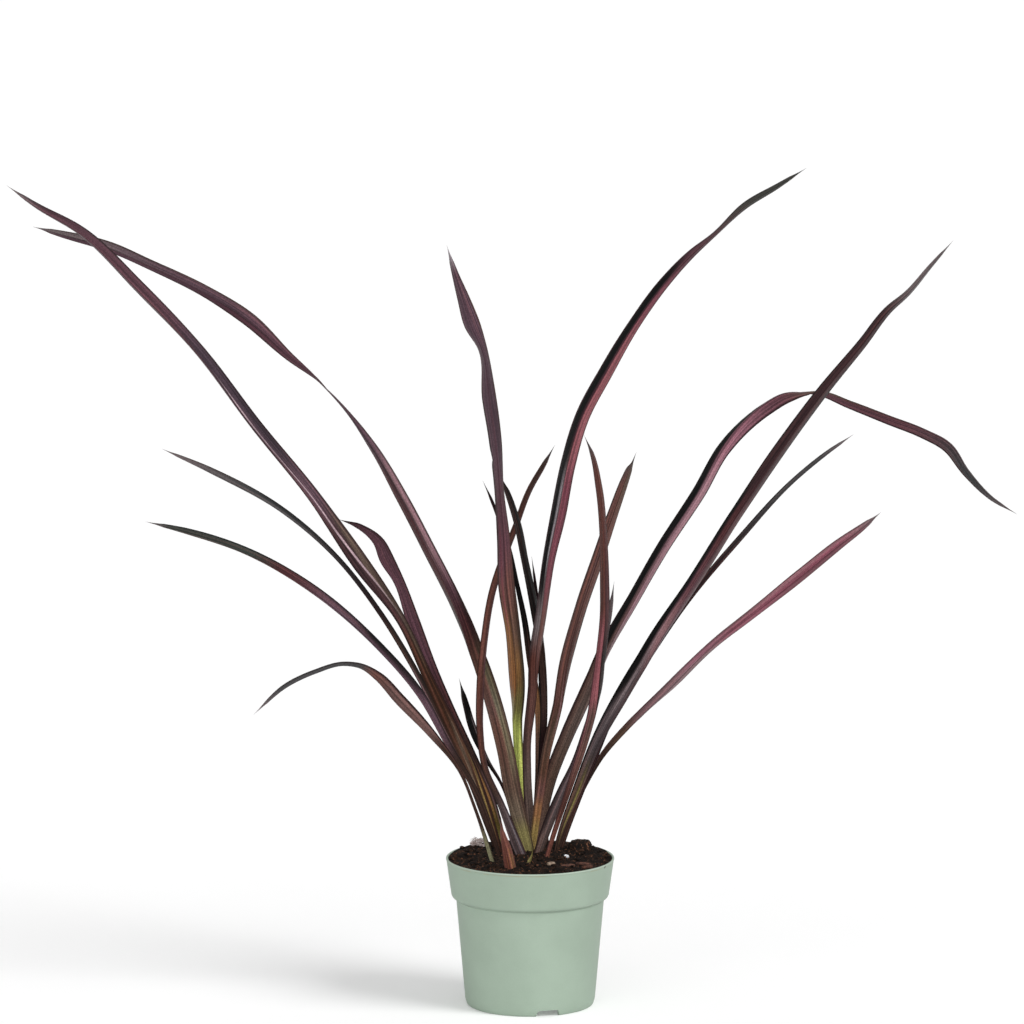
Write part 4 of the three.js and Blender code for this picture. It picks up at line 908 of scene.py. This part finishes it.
def lathe_object(name, outline, sides):
    """A closed turned body from an outline that starts and ends on the axis."""
    rings = [circle(sides) * (radius, radius, 0) + (0, 0, height) for radius, height in outline[1:-1]]
    ends = [(0, 0, outline[0][1]), (0, 0, outline[-1][1])]
    count = len(rings) * sides
    return mesh_object(name, np.vstack(rings + [ends]), skin(len(rings), sides, count, count + 1))


def prism(first, second):
    """A closed body between two outlines of as many points."""
    count = len(first)
    faces = [tuple(range(count)), tuple(range(2 * count - 1, count - 1, -1))]
    for i in range(count):
        j = (i + 1) % count
        faces.append((i, i + count, j + count, j))
    return mesh_object("cutter", np.vstack([first, second]), faces)


def notch_cutter(degrees):
    """A low opening with round upper corners, cut outwards through the foot."""
    corner, past = NOTCH["corner"], NOTCH["clearance"]
    half, top = NOTCH["width"] / 2, POT["channel_height"]
    quarter = np.radians(np.linspace(0, 90, NOTCH["corner_points"]))
    right = np.column_stack([half - corner + corner * np.cos(quarter),
                             top - corner + corner * np.sin(quarter)])
    flat = np.vstack([[(-half, -past), (half, -past)], right, right[::-1] * (-1, 1)])
    near = past - POT["channel_outer"]
    far = -past - POT["body_low_radius"]
    return prism(*(turned(np.insert(flat, 1, y, axis=1), degrees) for y in (far, near)))


def drain_cutter(degrees):
    """A round peg through the pot's floor."""
    middle = POT["channel_height"] + POT["floor"] / 2
    reach = (POT["channel_height"] + 3 * POT["floor"]) / 2
    round_edge = circle(DRAIN["sides"]) * DRAIN["radius"]
    centre = turned([(0, -DRAIN["ring"], middle)], degrees)
    return prism(*(centre + round_edge + (0, 0, z) for z in (reach, -reach)))


def cut_away(piece, cutters):
    """Subtracts the cutters and removes them."""
    for cutter in cutters:
        modifier = piece.modifiers.new("cut", "BOOLEAN")
        modifier.operation = "DIFFERENCE"
        modifier.solver = "EXACT"
        modifier.object = cutter
    graph = bpy.context.evaluated_depsgraph_get()
    result = bpy.data.meshes.new_from_object(piece.evaluated_get(graph))
    piece.modifiers.clear()
    piece.data = result
    for cutter in cutters:
        bpy.data.objects.remove(cutter)
    piece.data.polygons.foreach_set("use_smooth", [True] * len(piece.data.polygons))
    piece.data.set_sharp_from_angle(angle=math.radians(SHARP_FROM["pot"]))


def pot_piece():
    """The pot: a turned body with rounded corners, notches and drain holes."""
    outline = pot_outline()
    rounded = [outline[0][:2]]
    for before, (radius, height, bend), after in zip(outline, outline[1:], outline[2:]):
        if bend > 0:
            rounded.extend(map(tuple, arc_corner(before[:2], (radius, height), after[:2], bend)))
    rounded.append(outline[-1][:2])
    piece = lathe_object("nursery_pot", rounded, POT["sides"])
    cutters = [notch_cutter(NOTCH["first_degrees"] + 360 * i / NOTCH["count"])
               for i in range(NOTCH["count"])]
    cutters += [drain_cutter(DRAIN["first_degrees"] + 360 * i / DRAIN["count"])
                for i in range(DRAIN["count"])]
    cut_away(piece, cutters)
    finish_piece(piece, pot_material(), "pot")


def pot_material():
    s = Shading("pot_plastic")
    place = s.place()
    split = s.node("SeparateXYZ", {0: place})
    height = split.outputs[2]
    radius = s.node("VectorMath", {0: s.node("CombineXYZ", {
        0: split.outputs[0], 1: split.outputs[1]}).outputs[0]}, operation="LENGTH").outputs["Value"]
    cloud = s.noise(place, 28.0, 3.0)
    grain = s.noise(place, 2600.0, 2.0, 0.6)
    colour = s.mix(s.spread(cloud, 0.0, 1.0), linear("pot"), linear("pot_pale"))

    # The top of the lip is painted paler, a painted highlight, and a patchy brownish line is painted in the
    # groove under it.
    top = POT["height"] * MM
    lip = s.window(height, top - 0.0011, top - 0.0003)
    colour = s.mix(s.math("MULTIPLY", lip, 0.35), colour, linear("lip_highlight"))
    streak = s.noise(place, 90.0, 4.0, 0.7)
    groove = s.band(height, top - (POT["lip_height"] + 0.1) * MM, 0.0006)
    groove_line = s.math("MULTIPLY", groove, s.window(streak, 0.42, 0.62, 0.0, 0.5))
    colour = s.mix(groove_line, colour, linear("groove_brown"))

    # Inside the leaning wall, down to about 27 mm below the rim, the colour is painted dark brown: partly a
    # soil stain and partly painted shade.
    lean = (POT["rim_radius"] - POT["band_low_radius"]) / POT["band_height"]
    upright = s.math("SUBTRACT", radius, s.math("MULTIPLY", height, lean))
    outer = (POT["rim_radius"] - lean * POT["height"]) * MM
    inside = s.window(upright, outer - 0.0007, outer - 0.0010)
    stain_and_shade = s.math("MULTIPLY", inside, s.window(height, top - 0.0002, top - 0.0009, 0.0, 0.92))
    stain_and_shade = s.math("MULTIPLY", stain_and_shade, s.window(height, top - 0.028, top - 0.027))
    colour = s.mix(stain_and_shade, colour, linear("soil_stain_and_shade"))

    # A few specks of soil, and a fine scuffing of the plastic.
    speck = s.node("TexVoronoi", {"Vector": place, "Scale": 70.0, "Randomness": 1.0})
    lonely = s.noise(place, 60.0, 1.0)
    speck_size = s.window(lonely, 0.66, 0.78, 0.0, 0.035)
    spots = s.math("LESS_THAN", speck.outputs["Distance"], speck_size)
    colour = s.mix(s.math("MULTIPLY", spots, 0.8), colour, linear("speck"))
    crumb = [c * MM for c in POT["dirt_crumb"]]
    away = s.node("VectorMath", {0: place, 1: crumb}, operation="DISTANCE").outputs["Value"]
    colour = s.mix(s.window(away, 0.0013, 0.0007, 0.0, 0.85), colour, linear("soil_stain_and_shade"))
    colour = s.scaled(colour, s.spread(grain, 0.97, 1.03))
    normal = s.bump(cloud, 0.0006, 0.25, s.bump(grain, 0.00006, 0.5))
    return s.finish(colour, s.spread(cloud, 0.50, 0.62), 0.35, normal)


# The soil and what lies on it.

def soil_height(x, y):
    rise = smoothstep(y, SOIL["rise_from"], SOIL["rise_to"]) * SOIL["rise"]
    drop = SOIL["edge_drop"] * (np.hypot(x, y) / POT["rim_radius"]) ** 8
    return SOIL["front_level"] + rise - drop


def inner_radius(height):
    """The radius of the wall's inner face beside the band."""
    band_low = POT["height"] - POT["band_height"]
    share = (height - band_low) / POT["band_height"]
    low = POT["band_low_radius"] - POT["wall"]
    return low + (POT["rim_radius"] - POT["wall"] - low) * share


def crumbled(points, seed):
    """The unevenness of the soil's surface in millimetres: lumps, crumbs and grains."""
    height = np.zeros(len(points))
    for scale, amount in ((14.0, 1.0), (5.0, 0.9), (2.2, 0.7), (1.0, 0.35)):
        rough = wave_noise(points, scale, seed + scale)
        height += amount * (np.abs(rough) * 1.6 - 0.45)
    return height


def soil_outline():
    """(radius, height) of the soil's underside and its side against the pot's wall."""
    gap, draft = SOIL["gap"], POT["draft"]
    floor = POT["channel_height"] + POT["floor"] + gap
    low = POT["body_low_radius"] - POT["wall"] - gap
    high = POT["body_top_radius"] - POT["wall"] - gap
    body_top = POT["height"] - POT["band_height"] - POT["step_height"]
    outline = [(POT["channel_inner"] - 1, POT["floor"] + gap), (POT["channel_inner"] + 3, floor),
               (low - draft, floor), (low, floor + draft), (high, body_top)]
    for drop in SOIL["wall_drops"]:
        height = POT["height"] - drop
        outline.append((inner_radius(height) - gap, height))
    return outline


def soil_piece(rng):
    round_edge = circle(SOIL["sides"])
    rings = [round_edge * radius + (0, 0, height) for radius, height in soil_outline()]
    edge = inner_radius(SOIL["front_level"]) - SOIL["gap"]
    for i in range(SOIL["rings"], 0, -1):
        flat = round_edge * (edge * i / SOIL["rings"])
        fade = smoothstep(i, SOIL["rings"], SOIL["rings"] - SOIL["edge_rings"])
        height = soil_height(flat[:, 0], flat[:, 1]) + crumbled(flat, 3) * (0.35 + 0.65 * fade)
        rings.append(flat + np.outer(height, (0, 0, 1)))
    ends = [(0, 0, POT["floor"] + SOIL["gap"]), (0, 0, soil_height(0.0, 0.0))]
    count = len(rings) * SOIL["sides"]
    faces = skin(len(rings), SOIL["sides"], count, count + 1)
    piece = mesh_object("potting_soil", np.vstack(rings + [ends]), faces)
    add_crumbs(piece, rng)
    finish_piece(piece, soil_material("soil_skin", 1.0), "soil")


def lump(radii, centre, turn, seed, detail, rough):
    """Points and faces of an uneven lump."""
    ball = bmesh.new()
    bmesh.ops.create_icosphere(ball, subdivisions=detail, radius=1.0)
    unit = np.array([v.co[:] for v in ball.verts])
    faces = [tuple(v.index for v in f.verts) for f in ball.faces]
    ball.free()
    wobble = 1 + rough * wave_noise(unit, 0.9, seed) + 0.5 * rough * wave_noise(unit, 0.35, seed + 5)
    return turned(unit * wobble[:, None] * radii, turn) + centre, faces


def joined(parts):
    """Several point and face lists as one."""
    points, faces, count = [], [], 0
    for part_points, part_faces in parts:
        points.append(part_points)
        faces += [tuple(i + count for i in face) for face in part_faces]
        count += len(part_points)
    return np.vstack(points), faces


def add_crumbs(piece, rng):
    """Loose crumbs and splinters, sunk a little into the surface and joined to its mesh."""
    parts = []
    for k in range(SOIL["crumbs"]):
        radius = SOIL["crumbs_radius"] * math.sqrt(rng.random())
        angle = rng.uniform(0, 2 * math.pi)
        x, y = radius * math.cos(angle), radius * math.sin(angle)
        size = 0.5 + 1.3 * rng.random() ** 2.5
        z = soil_height(x, y) + 0.25 * size
        flat = rng.uniform(0.5, 0.9)
        stretch = rng.choice((1.0, 1.0, 1.3, 2.4))
        parts.append(lump((size * stretch, size, size * flat), (x, y, z), rng.uniform(0, 360),
                          k * 0.37, 2, 0.5))
    points, faces = joined(parts)
    join_into(piece, mesh_object("crumbs", points, faces))


def join_into(piece, extra):
    bpy.ops.object.select_all(action="DESELECT")
    extra.select_set(True)
    piece.select_set(True)
    bpy.context.view_layer.objects.active = piece
    bpy.ops.object.join()


def soil_material(name, lightness):
    s = Shading(name)
    place = s.place()
    lumps = s.noise(place, 160.0, 4.0, 0.65)
    grains = s.noise(place, 900.0, 4.0, 0.7)
    fibres = s.noise(place, 420.0, 3.0, 0.6)
    colour = s.mix(s.window(grains, 0.40, 0.60), linear("soil_dark"), linear("soil_mid"))
    colour = s.mix(s.window(lumps, 0.5, 0.66, 0.0, 0.75), colour, linear("soil_warm"))
    colour = s.mix(s.window(fibres, 0.59, 0.66, 0.0, 0.85), colour, linear("soil_fibre"))
    normal = s.bump(fibres, 0.0005, 0.6, s.bump(grains, 0.0008, 1.0))
    return s.finish(s.scaled(colour, lightness), s.spread(grains, 0.72, 0.96), 0.15, normal)


def clod_piece(node):
    """A clod: a lump pressed towards a block, with a crumbly surface."""
    bit = BITS[node]
    centre, radii = np.array(bit["at"]), np.array(bit["radii"])
    points, faces = lump(radii, centre, bit["turn"], bit["seed"], 5, 0.16)
    share = (points - centre) / radii
    points = centre + np.sign(share) * np.abs(share) ** bit["squareness"] * radii
    fine = np.abs(wave_noise(points, 1.6, bit["seed"] + 2)) * 1.1 - 0.4
    away = points - centre
    away /= np.linalg.norm(away, axis=1)[:, None]
    piece = mesh_object(bit["piece"], points + away * fine[:, None], faces)
    finish_piece(piece, soil_material(bit["piece"] + "_skin", 1.05), node)


def tube(path, radii, sides):
    """A closed round tube along a path, as points and faces."""
    path = np.array(path, dtype=float)
    along = np.gradient(path, axis=0)
    along /= np.linalg.norm(along, axis=1)[:, None]
    helper = np.array([0.31, 0.52, 0.79])
    side = np.cross(along, helper)
    side /= np.linalg.norm(side, axis=1)[:, None]
    up = np.cross(along, side)
    angles = 2 * np.pi * np.arange(sides) / sides
    rings = [place + radius * (np.outer(np.cos(angles), a) + np.outer(np.sin(angles), b))
             for place, radius, a, b in zip(path, radii, side, up)]
    count = len(rings) * sides
    faces = skin(len(rings), sides, count, count + 1)
    return np.vstack(rings + [path[:1], path[-1:]]), faces


def tuft_piece():
    """A knot of pale dry root fibres."""
    bit = BITS["root_tuft"]
    rng = random.Random(bit["seed"])
    steps = np.linspace(-1, 1, 12)
    parts = []
    for k in range(bit["fibres"]):
        direction = rng.uniform(0, 2 * math.pi)
        lean = rng.uniform(-0.5, 0.9)
        middle = np.array([rng.uniform(-0.5, 0.5), rng.uniform(-0.5, 0.5), rng.uniform(-0.7, 0.45)])
        sweep = rng.uniform(0.35, 0.7)
        curl = direction + 0.9 * steps + 0.35 * np.sin(5 * steps + k)
        rise = lean * sweep * (0.5 - steps ** 2) * 0.8 + 0.12 * np.sin(7 * steps + k)
        unit = np.column_stack([np.cos(curl) * steps * sweep, np.sin(curl) * steps * sweep, rise])
        unit += middle
        unit /= np.maximum(1.0, np.linalg.norm(unit, axis=1) / 0.97)[:, None]
        path = turned(unit * bit["radii"], bit["turn"]) + bit["at"]
        thick = rng.uniform(0.12, 0.32)
        parts.append(tube(path, thick * (1 - 0.5 * np.abs(steps) ** 3), 6))
    points, faces = joined(parts)
    husk_piece("root_tuft", points, faces)


def chip_piece(node):
    """A split chip: a flattened lump with flat breaks at its ends and lengthwise splits."""
    bit = BITS[node]
    points, faces = lump((1, 1, 1), (0, 0, 0), 0, bit["seed"], 4, 0.12)
    boxy = np.sign(points) * np.abs(points) ** 0.7
    boxy[:, 0] = np.clip(boxy[:, 0], -0.93, 0.9 + 0.1 * np.sin(9 * boxy[:, 1]))
    boxy[:, 2] *= 1 + 0.14 * np.sin(boxy[:, 1] * 9 + bit["seed"]) + 0.08 * np.sin(boxy[:, 1] * 21)
    placed = turned(boxy * bit["radii"], bit["turn"]) + bit["at"]
    husk_piece(node, placed, faces, SHARP_FROM["chip"])


def grain_piece():
    """A white grain of perlite."""
    bit = BITS["perlite_grain"]
    points, faces = lump(bit["radii"], bit["at"], bit["turn"], bit["seed"], 4, 0.22)
    husk_piece("perlite_grain", points, faces)


def husk_piece(node, points, faces, sharp_from=SHARP_FROM["soil"]):
    """A dry bit of BITS with its own three colours."""
    bit = BITS[node]
    piece = mesh_object(bit["piece"], points, faces, sharp_from)
    finish_piece(piece, husk_material(bit["piece"] + "_skin", *bit["colours"]), node)


def husk_material(name, base, dark, light):
    s = Shading(name)
    place = s.place()
    fibre = s.noise(place, 700.0, 4.0, 0.65)
    patch = s.noise(place, 220.0, 3.0, 0.6)
    colour = s.mix(s.window(fibre, 0.35, 0.65), linear(dark), linear(base))
    colour = s.mix(s.window(patch, 0.5, 0.7, 0.0, 0.8), colour, linear(light))
    return s.finish(colour, s.spread(fibre, 0.65, 0.9), 0.3, s.bump(fibre, 0.0004, 0.8))


# The studio.

def studio():
    """The pale floor, the white room and the two soft lights."""
    reach = LIGHT["floor_reach"]
    mesh = bpy.data.meshes.new("studio_floor")
    corners = [(-reach, -reach, 0), (reach, -reach, 0), (reach, reach, 0), (-reach, reach, 0)]
    mesh.from_pydata(corners, [], [(0, 1, 2, 3)])
    floor = bpy.data.objects.new("studio_floor", mesh)
    bpy.context.collection.objects.link(floor)
    s = Shading("studio_white")
    s.shader.inputs["Base Color"].default_value = (0.97, 0.97, 0.97, 1)
    s.shader.inputs["Roughness"].default_value = 0.9
    s.shader.inputs["Specular IOR Level"].default_value = 0.1
    mesh.materials.append(s.material)

    world = bpy.data.worlds.new("studio")
    world.use_nodes = True
    world.node_tree.nodes["Background"].inputs[0].default_value = (1, 1, 1, 1)
    world.node_tree.nodes["Background"].inputs[1].default_value = LIGHT["sky"]
    bpy.context.scene.world = world

    for name, sun in LIGHT["suns"].items():
        lamp = bpy.data.lights.new(name, "SUN")
        lamp.energy = sun["strength"]
        lamp.angle = math.radians(sun["softness"])
        lamp.use_shadow = sun["shadow"]
        holder = bpy.data.objects.new(name, lamp)
        direction = Vector(sun["from"])
        holder.location = direction
        holder.rotation_euler = direction.to_track_quat("Z", "Y").to_euler()
        bpy.context.collection.objects.link(holder)
    bpy.context.scene.view_settings.view_transform = "Standard"


def camera():
    """The camera at the photograph's angle and distance."""
    tilt = math.radians(CAMERA["tilt_degrees"])
    aim = Vector(CAMERA["aim"]) * MM
    distance = CAMERA["distance"] * MM
    lens = bpy.data.cameras.new("camera")
    lens.lens = CAMERA["lens"]
    lens.sensor_width = 36.0
    lens.clip_end = 200.0
    holder = bpy.data.objects.new("camera", lens)
    holder.location = aim + Vector((0, -math.cos(tilt), math.sin(tilt))) * distance
    holder.rotation_euler = (aim - holder.location).to_track_quat("-Z", "Y").to_euler()
    bpy.context.collection.objects.link(holder)
    bpy.context.scene.camera = holder


camera()
studio()
for index, leaf_name in enumerate(LEAVES):
    leaf_piece(leaf_name, index + 1)
pot_piece()
soil_piece(random.Random(7))
for clod in ("soil_clod_right", "soil_clod_front"):
    clod_piece(clod)
tuft_piece()
grain_piece()
for chip in ("pale_chip", "bark_chip_left", "bark_chip_middle", "bark_chip_right"):
    chip_piece(chip)
